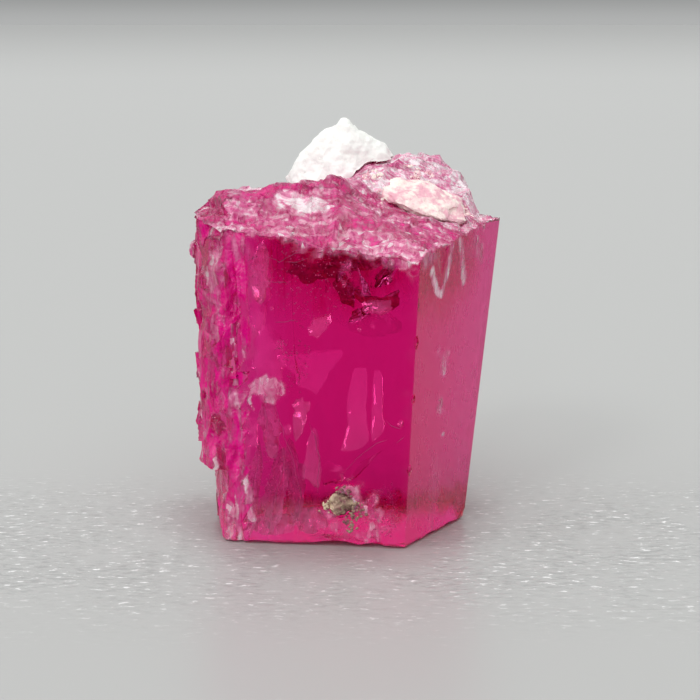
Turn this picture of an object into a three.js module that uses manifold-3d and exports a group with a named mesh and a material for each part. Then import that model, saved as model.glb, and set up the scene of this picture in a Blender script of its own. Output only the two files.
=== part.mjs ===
// A red beryl crystal standing on its broken base, with crumbs of its pale host rock.
//
// Millimetres, +Z up along the crystal's long axis, the front prism face towards -Y, and the
// origin under the middle of the specimen, on the surface that it stands on.

import * as THREE from "three";
import { mergeVertices } from "three/addons/utils/BufferGeometryUtils.js";
import { ImprovedNoise } from "three/addons/math/ImprovedNoise.js";
import Module from "manifold-3d";

// ---------------------------------------------------------------- driving dimensions

// The six prism faces, 60 degrees apart. Each has the turn of its outward normal about Z, its
// distance from the axis at the foot and at shoulder height (the prism narrows downwards), and
// the depth of its etching.
const FIRST_FACE_TURN = -96;
const FACE_TURN_STEP = 60;
const SHOULDER_HEIGHT = 8;
const PRISM_FACES = [
  { name: "front", foot: 2.84, shoulder: 2.84, etch: 0 },
  { name: "right", foot: 2.94, shoulder: 3.24, etch: 0 },
  { name: "right back", foot: 2.6, shoulder: 3.65, etch: 0.03 },
  { name: "back", foot: 2.42, shoulder: 2.87, etch: 0.05 },
  { name: "left back", foot: 2.61, shoulder: 2.91, etch: 0.12 },
  { name: "left", foot: 3.54, shoulder: 3.69, etch: 0.14 },
];

// The top broke in two steps, left and right of a seam. Each side is bounded by these planes,
// z = level + slopeX x + slopeY y, and takes the lowest of them.
const LEFT_TOP_PLANES = [
  { name: "front bevel", level: 10.72, slopeX: -0.05, slopeY: 1.05 },
  { name: "left bevel", level: 11.35, slopeX: 0.75, slopeY: 0 },
  { name: "plateau", level: 9.08, slopeX: 0.12, slopeY: -0.22 },
];
const RIGHT_TOP_PLANES = [
  { name: "front bevel", level: 10.72, slopeX: -0.05, slopeY: 1.05 },
  { name: "right slope", level: 9.58, slopeX: -0.325, slopeY: 0.49 },
  { name: "crown", level: 9.26, slopeX: 0.24, slopeY: 0 },
  { name: "right bevel", level: 13.55, slopeX: -1.19, slopeY: -0.53 },
  { name: "back bevel", level: 11.2, slopeX: 0, slopeY: -0.8 },
];
const TOP_SEAM = { at: 0.1, halfWidth: 0.45 };
const TOP_TERRACE = 0.22;
const TOP_TERRACE_SHARE = 0.6;
const TOP_ROUGHNESS = 0.12;
const TOP_LUMP_SPACING = 0.8;

// A ledge runs along the right rim of the top.
const RIM_LEDGE = { turn: -8, inset: 3.08, height: 8.12, fall: 0.2 };

// The base is flat, with a low arch under the front edge.
const ARCH = { middle: -0.35, halfWidth: 0.85, height: 0.17, depth: 1.5 };
const FOOT_CHAMFER = 0.07;

// The etched slab on the left flank stops in a ledge, and a narrower one goes on below it.
const FLANK_SLAB = {
  low: 1.95,
  high: 8.5,
  outline: [
    [-2.7, -2.5], [-3.1, -2.56], [-3.54, -2.38], [-3.84, -1.98],
    [-3.9, -1.4], [-3.86, -0.7], [-3.5, 0.0], [-2.6, -0.9],
  ],
  swell: 0,
  etch: 0.13,
};
const FLANK_FOOT = {
  low: 0.04,
  high: 2.4,
  outline: [
    [-2.6, -2.42], [-2.95, -2.52], [-3.24, -2.36], [-3.38, -2.0],
    [-3.4, -1.4], [-3.36, -0.7], [-3.1, -0.2], [-2.4, -0.9],
  ],
  swell: 0.08,
  etch: 0.1,
};
// Upright slivers left by the etching, strewn over the flank between two heights. Each stands
// in a line in plan and is lost in the slab but for its outer edges.
const FLANK_SLIVERS = [
  { count: 9, low: 2.3, high: 8.4, from: [-2.95, -2.46], to: [-3.5, -2.24], width: 0.2 },
  { count: 13, low: 2.4, high: 8.2, from: [-3.45, -2.26], to: [-3.78, -1.7], width: 0.24 },
  { count: 14, low: 2.5, high: 8.0, from: [-3.76, -1.7], to: [-3.7, -0.3], width: 0.27 },
  { count: 7, low: 0.45, high: 1.8, from: [-2.9, -2.4], to: [-3.3, -1.5], width: 0.2 },
];
const SLIVER_SIDES = 5;
const SLIVER_WIDTH_SHARE = [0.6, 1.1];
const SLIVER_TIP_SHARE = [0.35, 0.75];
const SLIVER_STRETCH = [2, 6];
const SLIVER_LEAN = 0.13;
const FLANK_SEED = 5;
const SLAB_ROW_HEIGHT = 0.27;
const SLAB_OUTLINE_STEP = 0.24;

// Chips broken out of edges and corners: centre, half sizes and turn about Z.
const CHIPS = [
  { name: "notch under the right rim", at: [2.42, -2.28, 7.62], half: [0.36, 0.14, 1.0], turn: 54 },
  { name: "rear right foot", at: [3.55, -0.35, -0.1], half: [0.85, 1.2, 0.8], turn: 20 },
  { name: "front edge, upper", at: [1.72, -3.02, 5.42], half: [0.1, 0.12, 0.2], turn: 20 },
  { name: "front edge, middle", at: [1.66, -3.02, 3.98], half: [0.09, 0.11, 0.14], turn: 10 },
  { name: "front edge, lower", at: [1.6, -3.02, 2.1], half: [0.11, 0.12, 0.2], turn: 40 },
  { name: "foot of the front face", at: [0.72, -2.95, 0.02], half: [0.24, 0.2, 0.16], turn: 0 },
];

// Lumps of host rock: centre, half sizes, tilt about X and Y, and roughness as a share of size.
const WHITE_CAP = {
  at: [-0.08, 1.85, 9.0],
  half: [1.52, 1.0, 1.64],
  tilt: [0, 0],
  peak: 0.46,
  rough: 0.16,
  detail: 6,
};
const CREAM_CRUST = {
  at: [2.0, -0.55, 8.66],
  half: [1.12, 0.85, 0.24],
  tilt: [24, 17],
  peak: 0,
  rough: 0.26,
  detail: 4,
};
const TAN_CRUMB = {
  at: [-0.16, -2.72, 1.12],
  half: [0.36, 0.2, 0.33],
  tilt: [0, 0],
  peak: 0,
  rough: 0.24,
  detail: 3,
};
const GAP = 0.04;

// How finely the surfaces are faceted.
const COLUMN_WIDTH = 0.34;
const WALL_ROWS = 21;
const WALL_TOP = 10.6;
const BASE_RINGS = 6;
const TOP_CELL = 0.28;
const TOP_SPAN = 11;
const TOP_JITTER = 0.2;
const TOP_GRID_TURN = 27;

// Noise pitches, in waves a millimetre, and shifts that keep one use of the noise from another.
const LAYER_SHIFT = 7.3;
const NOISE_LEVEL = 3.1;
const WALL_ETCH = { across: 1.5, along: 0.8, bias: 0.4, fadeShare: 0.2 };
const TOP_SHIFT = 5.2;
const TOP_JITTER_PITCH = 4.3;
const TOP_JITTER_SHIFTS = [1.7, 8.6];
const FOOT_NOISE = { pitch: 1.7, shift: 9.4 };
const SLAB_ETCH = { across: 2.1, along: 0.9, shift: 4.4 };
const SLAB_END = { share: 0.58, lift: 0.1, poleLift: 0.16, rough: 0.12, pitch: 2.3 };
const LUMP_PITCH = 1.6;

const MERGE_DISTANCE = 1e-4;

const COLOURS = {
  beryl: { color: 0xc4125f, roughness: 0.12, metalness: 0 },
  whiteRock: { color: 0xecebe2, roughness: 0.9, metalness: 0 },
  creamRock: { color: 0xf3dfca, roughness: 0.9, metalness: 0 },
  tanRock: { color: 0xa98a63, roughness: 0.95, metalness: 0 },
};

// ---------------------------------------------------------------- small helpers

const wasm = await Module();
wasm.setup();
const gradientNoise = new ImprovedNoise();

// Layered noise in about -1 to 1, each layer half as wide and half as deep as the one before.
function layeredNoise(x, y, z, layers) {
  let sum = 0;
  let depth = 1;
  let pitch = 1;
  for (let layer = 0; layer < layers; layer++) {
    const shift = LAYER_SHIFT * layer;
    sum += depth * gradientNoise.noise(x * pitch + shift, y * pitch, z * pitch + NOISE_LEVEL);
    depth /= 2;
    pitch *= 2;
  }
  return sum;
}

// Random numbers from 0 to 1, the same ones on every run.
function seededRandom(seed) {
  let state = seed;
  return () => {
    state = (state * 16807) % 2147483647;
    return state / 2147483647;
  };
}

function unitVector(turn) {
  const angle = THREE.MathUtils.degToRad(turn);
  return new THREE.Vector2(Math.cos(angle), Math.sin(angle));
}

// A closed surface through rings of points, each ring anticlockwise seen from above, from a
// lowest pole to a highest one.
function skin(rings, lowPole, highPole) {
  const count = rings[0].length;
  const points = [lowPole, ...rings.flat(), highPole];
  const top = points.length - 1;
  const at = (ring, column) => 1 + ring * count + (column % count);
  const index = [];
  for (let column = 0; column < count; column++) {
    index.push(0, at(0, column + 1), at(0, column));
    for (let ring = 0; ring + 1 < rings.length; ring++) {
      const a = at(ring, column);
      const b = at(ring, column + 1);
      const c = at(ring + 1, column + 1);
      const d = at(ring + 1, column);
      index.push(a, b, c, a, c, d);
    }
    index.push(top, at(rings.length - 1, column), at(rings.length - 1, column + 1));
  }
  return new THREE.BufferGeometry().setFromPoints(points).setIndex(index);
}

// A closed geometry as a solid that can be joined and cut.
function solid(geometry) {
  const bare = geometry.clone();
  bare.deleteAttribute("normal");
  bare.deleteAttribute("uv");
  const merged = mergeVertices(bare, MERGE_DISTANCE);
  return new wasm.Manifold(
    new wasm.Mesh({
      numProp: 3,
      vertProperties: new Float32Array(merged.attributes.position.array),
      triVerts: new Uint32Array(merged.index.array),
    }),
  );
}

// A solid as flat-shaded geometry.
function geometryOf(body) {
  const mesh = body.getMesh();
  const geometry = new THREE.BufferGeometry();
  const positions = new Float32Array(mesh.numVert * 3);
  for (let vertex = 0; vertex < mesh.numVert; vertex++) {
    const start = vertex * mesh.numProp;
    positions.set(mesh.vertProperties.subarray(start, start + 3), vertex * 3);
  }
  geometry.setAttribute("position", new THREE.BufferAttribute(positions, 3));
  geometry.setIndex(new THREE.BufferAttribute(new Uint32Array(mesh.triVerts), 1));
  const flat = geometry.toNonIndexed();
  flat.computeVertexNormals();
  return flat;
}

// ---------------------------------------------------------------- the prism

// The distance from the axis to a prism face at one height.
function faceDistance(face, height) {
  return THREE.MathUtils.lerp(face.foot, face.shoulder, height / SHOULDER_HEIGHT);
}

// The corner between a prism face and the next one, at one height.
function prismCorner(number, height) {
  const faces = PRISM_FACES.length;
  const one = ((number % faces) + faces) % faces;
  const two = (one + 1) % faces;
  const n1 = unitVector(FIRST_FACE_TURN + FACE_TURN_STEP * one);
  const n2 = unitVector(FIRST_FACE_TURN + FACE_TURN_STEP * two);
  const d1 = faceDistance(PRISM_FACES[one], height);
  const d2 = faceDistance(PRISM_FACES[two], height);
  const cross = n1.x * n2.y - n1.y * n2.x;
  return new THREE.Vector2((d1 * n2.y - d2 * n1.y) / cross, (d2 * n1.x - d1 * n2.x) / cross);
}

// The places round the prism at which its walls have a column of points.
function prismColumns() {
  const columns = [];
  PRISM_FACES.forEach((face, number) => {
    const start = prismCorner(number - 1, SHOULDER_HEIGHT);
    const end = prismCorner(number, SHOULDER_HEIGHT);
    const steps = Math.round(start.distanceTo(end) / COLUMN_WIDTH);
    for (let step = 0; step < steps; step++) columns.push({ number, along: step / steps });
  });
  return columns;
}

// A point of the prism's wall, with the face's etching, which fades out towards its corners.
function wallPoint(column, height) {
  const face = PRISM_FACES[column.number];
  const start = prismCorner(column.number - 1, height);
  const end = prismCorner(column.number, height);
  const place = start.lerp(end, column.along);
  const inward = Math.min(column.along, 1 - column.along);
  const fade = Math.min(1, inward / WALL_ETCH.fadeShare);
  const { across, along, bias } = WALL_ETCH;
  const rough = layeredNoise(place.x * across, place.y * across, height * along, 3);
  const normal = unitVector(FIRST_FACE_TURN + FACE_TURN_STEP * column.number);
  return place.addScaledVector(normal, face.etch * fade * (rough - bias));
}

function lowestPlane(planes, x, y) {
  return Math.min(...planes.map((p) => p.level + p.slopeX * x + p.slopeY * y));
}

// The height of the broken top over a place in plan.
function topHeight(x, y) {
  const start = TOP_SEAM.at - TOP_SEAM.halfWidth;
  const end = TOP_SEAM.at + TOP_SEAM.halfWidth;
  const right = THREE.MathUtils.smoothstep(x, start, end);
  const leftHeight = lowestPlane(LEFT_TOP_PLANES, x, y);
  const rightHeight = lowestPlane(RIGHT_TOP_PLANES, x, y);
  let height = THREE.MathUtils.lerp(leftHeight, rightHeight, right);
  const rim = unitVector(RIM_LEDGE.turn);
  const past = rim.x * x + rim.y * y - RIM_LEDGE.inset;
  const drop = THREE.MathUtils.smoothstep(past, 0, RIM_LEDGE.fall);
  height = THREE.MathUtils.lerp(height, Math.min(height, RIM_LEDGE.height), drop);
  const pitch = 1 / TOP_LUMP_SPACING;
  height += TOP_ROUGHNESS * layeredNoise(x * pitch, y * pitch, TOP_SHIFT, 3);
  const terraced = TOP_TERRACE * Math.round(height / TOP_TERRACE);
  return THREE.MathUtils.lerp(height, terraced, TOP_TERRACE_SHARE);
}

// The height of the base over a place in plan: nought, but for the arch and a broken rim.
function baseHeight(x, y, rim) {
  const across = THREE.MathUtils.clamp(1 - Math.abs((x - ARCH.middle) / ARCH.halfWidth), 0, 1);
  const front = -PRISM_FACES[0].foot;
  const inward = THREE.MathUtils.clamp(1 - (y - front) / ARCH.depth, 0, 1);
  const arch = ARCH.height * Math.sin((Math.PI / 2) * across) * inward;
  const { pitch, shift } = FOOT_NOISE;
  const chamfer = rim * FOOT_CHAMFER * (1 + layeredNoise(x * pitch, y * pitch, shift, 2));
  return Math.max(0, arch, chamfer);
}

// The prism's walls on its flat base, running on above the broken top.
function buildWalls() {
  const columns = prismColumns();
  const lows = columns.map((column) => {
    const foot = wallPoint(column, 0);
    return baseHeight(foot.x, foot.y, 1);
  });
  const rings = [];
  const foot = columns.map((column, i) => wallPoint(column, lows[i]));
  for (let ring = 1; ring < BASE_RINGS; ring++) {
    const share = ring / BASE_RINGS;
    rings.push(foot.map((p) => {
      const x = p.x * share;
      const y = p.y * share;
      return new THREE.Vector3(x, y, baseHeight(x, y, 0));
    }));
  }
  for (let row = 0; row <= WALL_ROWS; row++) {
    rings.push(columns.map((column, i) => {
      const z = THREE.MathUtils.lerp(lows[i], WALL_TOP, row / WALL_ROWS);
      const p = wallPoint(column, z);
      return new THREE.Vector3(p.x, p.y, z);
    }));
  }
  const highPole = new THREE.Vector3(0, 0, WALL_TOP);
  return solid(skin(rings, new THREE.Vector3(0, 0, 0), highPole));
}

// A block wider and deeper than the prism, with the broken top as its upper surface.
function buildTopBlock() {
  const cells = Math.round(TOP_SPAN / TOP_CELL);
  const geometry = new THREE.BoxGeometry(TOP_SPAN, TOP_SPAN, 1, cells, cells, 1);
  const [shiftOne, shiftTwo] = TOP_JITTER_SHIFTS;
  geometry.rotateZ(THREE.MathUtils.degToRad(TOP_GRID_TURN));
  const position = geometry.getAttribute("position");
  for (let vertex = 0; vertex < position.count; vertex++) {
    const x = position.getX(vertex);
    const y = position.getY(vertex);
    if (position.getZ(vertex) > 0) {
      const pitch = TOP_JITTER_PITCH;
      const movedX = x + TOP_JITTER * layeredNoise(x * pitch, y * pitch, shiftOne, 1);
      const movedY = y + TOP_JITTER * layeredNoise(x * pitch, y * pitch, shiftTwo, 1);
      position.setXYZ(vertex, movedX, movedY, topHeight(movedX, movedY));
    } else {
      position.setZ(vertex, -1);
    }
  }
  return solid(geometry);
}

// Everything above the surface that the crystal stands on.
function buildHeadroom() {
  const geometry = new THREE.BoxGeometry(TOP_SPAN, TOP_SPAN, 2 * WALL_TOP);
  geometry.translate(0, 0, WALL_TOP);
  return solid(geometry);
}

// ---------------------------------------------------------------- the etched left flank

// A slab with an upright, etched wall on a plan outline. Its top slopes as the left bevel does.
function buildSlab(slab) {
  const corners = slab.outline.map(([x, y]) => new THREE.Vector2(x, y)).reverse();
  const plan = [];
  corners.forEach((corner, number) => {
    const next = corners[(number + 1) % corners.length];
    const steps = Math.max(1, Math.round(corner.distanceTo(next) / SLAB_OUTLINE_STEP));
    for (let step = 0; step < steps; step++) plan.push(corner.clone().lerp(next, step / steps));
  });
  const middle = plan.reduce((sum, p) => sum.add(p), new THREE.Vector2());
  middle.divideScalar(plan.length);
  const rows = Math.round((slab.high - slab.low) / SLAB_ROW_HEIGHT);
  const ringAt = (share, z) => plan.map((p) => {
    const out = p.clone().sub(middle);
    const swell = slab.swell * Math.sin((Math.PI * (z - slab.low)) / (slab.high - slab.low));
    const { across, along, shift } = SLAB_ETCH;
    const rough = layeredNoise(p.x * across, p.y * across + shift, z * along, 3);
    const grow = 1 + (swell + slab.etch * rough) / out.length();
    const place = middle.clone().addScaledVector(out, share * grow);
    return new THREE.Vector3(place.x, place.y, z);
  });
  const { share: endShare, lift: endLift, poleLift, rough: endRough, pitch } = SLAB_END;
  const endRing = (z, lift) => ringAt(endShare, z).map((p) => {
    const rough = endRough * layeredNoise(p.x * pitch, p.y * pitch, p.z, 2);
    return new THREE.Vector3(p.x, p.y, p.z + lift + rough);
  });
  const rings = [endRing(slab.low, -endLift)];
  for (let row = 0; row <= rows; row++) {
    rings.push(ringAt(1, THREE.MathUtils.lerp(slab.low, slab.high, row / rows)));
  }
  rings.push(endRing(slab.high, endLift));
  return solid(skin(
    rings,
    new THREE.Vector3(middle.x, middle.y, slab.low - poleLift),
    new THREE.Vector3(middle.x, middle.y, slab.high + poleLift),
  ));
}

// Slivers at random places along their line and heights, each with its own length and lean.
function buildSlivers(slivers, random) {
  const between = ([least, most], share) => THREE.MathUtils.lerp(least, most, share);
  const bodies = [];
  const from = new THREE.Vector2(...slivers.from);
  const to = new THREE.Vector2(...slivers.to);
  for (let number = 0; number < slivers.count; number++) {
    const place = from.clone().lerp(to, random());
    const radius = slivers.width * between(SLIVER_WIDTH_SHARE, random());
    const length = radius * between(SLIVER_STRETCH, random() ** 2);
    const low = slivers.low + length / 2;
    const high = slivers.high - length / 2;
    const tip = radius * between(SLIVER_TIP_SHARE, random());
    const geometry = new THREE.CylinderGeometry(tip, radius, length, SLIVER_SIDES, 1);
    geometry.rotateX(Math.PI / 2);
    if (random() < 0.5) geometry.rotateX(Math.PI);
    geometry.rotateZ(2 * Math.PI * random());
    geometry.rotateX(SLIVER_LEAN * (2 * random() - 1));
    geometry.rotateY(SLIVER_LEAN * (2 * random() - 1));
    geometry.translate(place.x, place.y, THREE.MathUtils.lerp(low, high, random()));
    bodies.push(solid(geometry));
  }
  return bodies;
}

// ---------------------------------------------------------------- chips and lumps of rock

// A wedge-shaped cutter for a chip.
function buildChip(chip) {
  const geometry = new THREE.OctahedronGeometry(1, 1);
  geometry.scale(...chip.half);
  geometry.rotateZ(THREE.MathUtils.degToRad(chip.turn));
  geometry.translate(...chip.at);
  return solid(geometry);
}

// A rough lump of rock. Peak draws its upper half in to a blunt point.
function buildLump(lump, grow) {
  const geometry = new THREE.IcosahedronGeometry(1, lump.detail);
  const position = geometry.getAttribute("position");
  const p = new THREE.Vector3();
  for (let vertex = 0; vertex < position.count; vertex++) {
    p.fromBufferAttribute(position, vertex);
    const seed = lump.at[0];
    const [x, y, z] = p.clone().multiplyScalar(LUMP_PITCH).toArray();
    const rough = 1 + lump.rough * layeredNoise(x + seed, y, z, 3);
    const taper = 1 - lump.peak * Math.max(0, p.z);
    p.set(p.x * rough * taper, p.y * rough * taper, p.z * rough);
    p.set(
      p.x * (lump.half[0] + grow),
      p.y * (lump.half[1] + grow),
      p.z * (lump.half[2] + grow),
    );
    position.setXYZ(vertex, p.x, p.y, p.z);
  }
  geometry.rotateX(THREE.MathUtils.degToRad(lump.tilt[0]));
  geometry.rotateY(THREE.MathUtils.degToRad(lump.tilt[1]));
  geometry.translate(...lump.at);
  return solid(geometry);
}

// The largest body of a solid, so that a cut leaves no loose slivers.
function largestBody(body) {
  const bodies = body.decompose();
  return bodies.reduce((most, one) => (one.volume() > most.volume() ? one : most));
}

// A lump that lies on the crystal, cut off just clear of its surface.
function seatOn(crystal, lump) {
  return largestBody(lump.subtract(crystal.translate([0, 0, GAP])));
}

// ---------------------------------------------------------------- the specimen

function buildCrystal() {
  let crystal = buildWalls().add(buildSlab(FLANK_SLAB)).add(buildSlab(FLANK_FOOT));
  const random = seededRandom(FLANK_SEED);
  for (const slivers of FLANK_SLIVERS) {
    for (const sliver of buildSlivers(slivers, random)) crystal = crystal.add(sliver);
  }
  crystal = crystal.intersect(buildTopBlock()).intersect(buildHeadroom());
  for (const chip of CHIPS) crystal = crystal.subtract(buildChip(chip));
  for (const lump of [CREAM_CRUST, TAN_CRUMB]) crystal = crystal.subtract(buildLump(lump, GAP));
  return largestBody(crystal);
}

function addPiece(group, name, body, look) {
  const material = new THREE.MeshStandardMaterial({ ...look, flatShading: true });
  const mesh = new THREE.Mesh(geometryOf(body), material);
  mesh.name = name;
  group.add(mesh);
  return mesh;
}

const specimen = new THREE.Group();
const crystal = buildCrystal();
const beryl = addPiece(specimen, "red_beryl_crystal", crystal, COLOURS.beryl);
Object.assign(beryl.material, { transparent: true, opacity: 0.85 });
const whiteCap = seatOn(crystal, buildLump(WHITE_CAP, 0));
addPiece(specimen, "white_matrix_cap", whiteCap, COLOURS.whiteRock);
addPiece(specimen, "cream_matrix_crust", buildLump(CREAM_CRUST, 0), COLOURS.creamRock);
addPiece(specimen, "tan_matrix_crumb", buildLump(TAN_CRUMB, 0), COLOURS.tanRock);

export default specimen;
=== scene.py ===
"""Dresses a red beryl crystal with its crumbs of host rock.

The crystal is one clear, absorbing body with a frosted broken top, an etched left flank, open
cracks inside and healed fractures made of tiny flakes. Lengths in the classes are millimetres,
angles are degrees, and shares run from 0 to 1.
"""

import logging
import math
from dataclasses import dataclass, field
from enum import Enum
from typing import Any, Callable

import bmesh
import bpy
import numpy as np
from mathutils import Matrix, Vector, noise


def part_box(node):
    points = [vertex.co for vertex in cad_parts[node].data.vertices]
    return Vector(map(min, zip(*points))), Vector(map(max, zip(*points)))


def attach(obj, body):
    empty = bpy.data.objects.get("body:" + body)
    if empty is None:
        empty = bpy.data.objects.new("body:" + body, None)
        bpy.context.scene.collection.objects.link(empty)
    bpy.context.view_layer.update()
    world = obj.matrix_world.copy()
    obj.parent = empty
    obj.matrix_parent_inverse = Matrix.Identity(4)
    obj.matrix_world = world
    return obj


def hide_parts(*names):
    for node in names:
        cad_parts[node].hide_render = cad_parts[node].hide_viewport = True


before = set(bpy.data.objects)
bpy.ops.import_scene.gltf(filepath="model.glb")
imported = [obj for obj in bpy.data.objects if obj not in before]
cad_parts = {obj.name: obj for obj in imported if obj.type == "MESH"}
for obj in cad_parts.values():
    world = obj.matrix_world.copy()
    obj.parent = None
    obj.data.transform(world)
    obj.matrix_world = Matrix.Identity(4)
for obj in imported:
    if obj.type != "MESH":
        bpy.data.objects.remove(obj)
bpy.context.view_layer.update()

MM = 0.001
log = logging.getLogger("red_beryl")

Pair = tuple[float, float]
Triple = tuple[float, float, float]
Outline = tuple[Pair, ...]
Tones = tuple[tuple[float, Triple], ...]
Socket = bpy.types.NodeSocket
Node = bpy.types.Node
Vert = bmesh.types.BMVert
Face = bmesh.types.BMFace
Form = bmesh.types.BMesh

EVEN = (1.0, 1.0, 1.0)
FIELDS = ("frost", "pale", "matt", "skin")


# ------------------------------------------------------------------ helpers


@dataclass(frozen=True)
class Ramp:
    """A range of values, low to high, and what its two ends are taken to."""

    low: float
    high: float
    to_low: float = 0.0
    to_high: float = 1.0

    def in_metres(self) -> "Ramp":
        """Returns the same ramp over a range of lengths in metres."""
        return Ramp(self.low * MM, self.high * MM, self.to_low, self.to_high)


@dataclass(frozen=True)
class Speckle:
    """A pattern: the size of its features, its detail and how far it is stretched along the axes."""

    size: float
    detail: float = 3.0
    stretch: Triple = EVEN


class Wiring:
    """Adds nodes to one node tree and joins their sockets."""

    def __init__(self, tree: bpy.types.NodeTree) -> None:
        """Keeps the tree that the nodes go into."""
        self.tree = tree

    def add(self, kind: str, inputs: dict[Any, Any] | None = None, **settings: Any) -> Node:
        """Adds a node.

        Args:
            kind: The node's type.
            inputs: What goes into its inputs, by name or number: a value, or a socket to link.
            settings: The node's own properties.

        Returns:
            The node.
        """
        node = self.tree.nodes.new(kind)
        for name, value in settings.items():
            setattr(node, name, value)
        for key, value in (inputs or {}).items():
            if isinstance(value, Socket):
                self.tree.links.new(value, node.inputs[key])
            else:
                node.inputs[key].default_value = value
        return node

    def join(self, output: Socket, into: Socket) -> None:
        """Links an output to an input."""
        self.tree.links.new(output, into)

    def maths(self, operation: str, one: Any, two: Any = 0.0, clamp: bool = False) -> Socket:
        """Returns the result of a Math node on two values or sockets."""
        return self.add("ShaderNodeMath", {0: one, 1: two}, operation=operation, use_clamp=clamp).outputs[0]

    def total(self, *parts: Any) -> Socket:
        """Returns the sum of values or sockets."""
        found = parts[0]
        for part in parts[1:]:
            found = self.maths("ADD", found, part)
        return found

    def times(self, one: Any, two: Any, clamp: bool = False) -> Socket:
        """Returns the product of two values or sockets."""
        return self.maths("MULTIPLY", one, two, clamp)

    def rest(self, share: Any) -> Socket:
        """Returns what a share leaves of 1."""
        return self.maths("SUBTRACT", 1.0, share)

    def vector(self, operation: str, one: Any, two: Any = (0, 0, 0)) -> Any:
        """Returns the outputs of a Vector Math node on two vectors or sockets."""
        return self.add("ShaderNodeVectorMath", {0: one, 1: two}, operation=operation).outputs

    def axis(self, vector: Any, name: str) -> Socket:
        """Returns a vector's part along the axis X, Y or Z."""
        return self.add("ShaderNodeSeparateXYZ", {0: vector}).outputs[name]

    def place(self, kind: str = "Object") -> Socket:
        """Returns the coordinates of the place that is shaded."""
        return self.add("ShaderNodeTexCoord").outputs[kind]

    def ramp(self, value: Any, ramp: Ramp) -> Socket:
        """Returns value taken smoothly along a ramp."""
        span = {"From Min": ramp.low, "From Max": ramp.high, "To Min": ramp.to_low, "To Max": ramp.to_high}
        inputs = {"Value": value, **span}
        return self.add("ShaderNodeMapRange", inputs, interpolation_type="SMOOTHSTEP").outputs["Result"]

    def mix(self, share: Any, one: Any, two: Any) -> Socket:
        """Returns two colours mixed by share."""
        node = self.add("ShaderNodeMix", {0: share}, data_type="RGBA")
        for socket, value in ((node.inputs[6], one), (node.inputs[7], two)):
            if isinstance(value, Socket):
                self.tree.links.new(value, socket)
            else:
                socket.default_value = (*value, 1.0)
        return node.outputs[2]

    def _scaled(self, coordinates: Any, stretch: Triple) -> Socket:
        """Returns coordinates in millimetres, squeezed along the axes."""
        scale = [1 / (each * MM) for each in stretch]
        return self.add("ShaderNodeMapping", {"Vector": coordinates, "Scale": scale}).outputs[0]

    def noise(self, coordinates: Any, grain: Speckle) -> Socket:
        """Returns fractal noise."""
        scaled = self._scaled(coordinates, grain.stretch)
        inputs = {"Vector": scaled, "Scale": 1 / grain.size, "Detail": grain.detail, "Roughness": 0.6}
        return self.add("ShaderNodeTexNoise", inputs).outputs["Fac"]

    def facets(self, coordinates: Any, grain: Speckle) -> tuple[Socket, Socket]:
        """Breaks a surface into randomly tilted facets.

        Args:
            coordinates: Where on the surface.
            grain: The facets' size and stretch.

        Returns:
            The height, in millimetres where a facet is tilted by 45 degrees, and each facet's random share.
        """
        scaled = self._scaled(coordinates, grain.stretch)
        cells = self.add("ShaderNodeTexVoronoi", {"Vector": scaled, "Scale": 1 / grain.size}).outputs
        away = self.vector("SUBTRACT", scaled, cells["Position"])[0]
        tilt = self.vector("SUBTRACT", cells["Color"], (0.5,) * 3)[0]
        height = self.vector("DOT_PRODUCT", away, tilt)["Value"]
        return height, self.axis(cells["Color"], "X")

    def tones(self, value: Any, stops: Tones) -> Socket:
        """Returns the colour at a value between 0 and 1, from stops of a position and a colour."""
        ramp = self.add("ShaderNodeValToRGB", {0: value})
        elements = ramp.color_ramp.elements
        for _ in range(len(stops) - 2):
            elements.new(0.5)
        for element, (position, colour) in zip(elements, stops):
            element.position = position
            element.color = (*colour, 1.0)
        return ramp.outputs[0]

    def bump(self, shader: Node, height: Any, strength: float, distance: float) -> None:
        """Gives a shader a bump of a height, whose full depth is the distance in millimetres."""
        inputs = {"Height": height, "Strength": strength, "Distance": distance * MM}
        self.join(self.add("ShaderNodeBump", inputs).outputs["Normal"], shader.inputs["Normal"])


def new_material(name: str) -> tuple[bpy.types.Material, Wiring, Node]:
    """Makes a material with one Principled shader.

    Args:
        name: The material's name.

    Returns:
        The material, its wiring and the shader node.
    """
    material = bpy.data.materials.new(name)
    material.use_nodes = True
    return material, Wiring(material.node_tree), material.node_tree.nodes["Principled BSDF"]


def object_of(name: str, mesh: bpy.types.Mesh) -> bpy.types.Object:
    """Returns a new object that holds the mesh, at the origin of the scene."""
    made = bpy.data.objects.new(name, mesh)
    bpy.context.scene.collection.objects.link(made)
    return made


def merged_copy(node: str) -> Form:
    """Returns a copy of a CAD node's mesh with its loose corners joined, in millimetres."""
    form = bmesh.new()
    form.from_mesh(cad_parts[node].data)
    bmesh.ops.remove_doubles(form, verts=form.verts, dist=1e-6)
    bmesh.ops.scale(form, vec=(1 / MM,) * 3, verts=form.verts)
    bmesh.ops.triangulate(form, faces=form.faces)
    return form


def to_triangles(form: Form) -> None:
    """Splits a form's faces of more than three corners."""
    bmesh.ops.triangulate(form, faces=[face for face in form.faces if len(face.verts) > 3])


def split(form: Form, edges: list[bmesh.types.BMEdge]) -> None:
    """Halves some edges of a form that is all triangles, and keeps it so."""
    bmesh.ops.subdivide_edges(form, edges=edges, cuts=1)
    to_triangles(form)


def refine(form: Form, longest: float, rounds: int = 5) -> None:
    """Halves every edge of a form that is longer than the longest wanted, so many times at the most."""
    for _ in range(rounds):
        long = [edge for edge in form.edges if (edge.verts[0].co - edge.verts[1].co).length > longest]
        if not long:
            return
        split(form, long)


def layered(place: Vector, pitch: float, layers: int) -> float:
    """Returns layered noise in about -1 to 1, with pitch waves a millimetre in its first layer."""
    return noise.fractal(place * pitch, 1.0, 2.0, layers)


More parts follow.
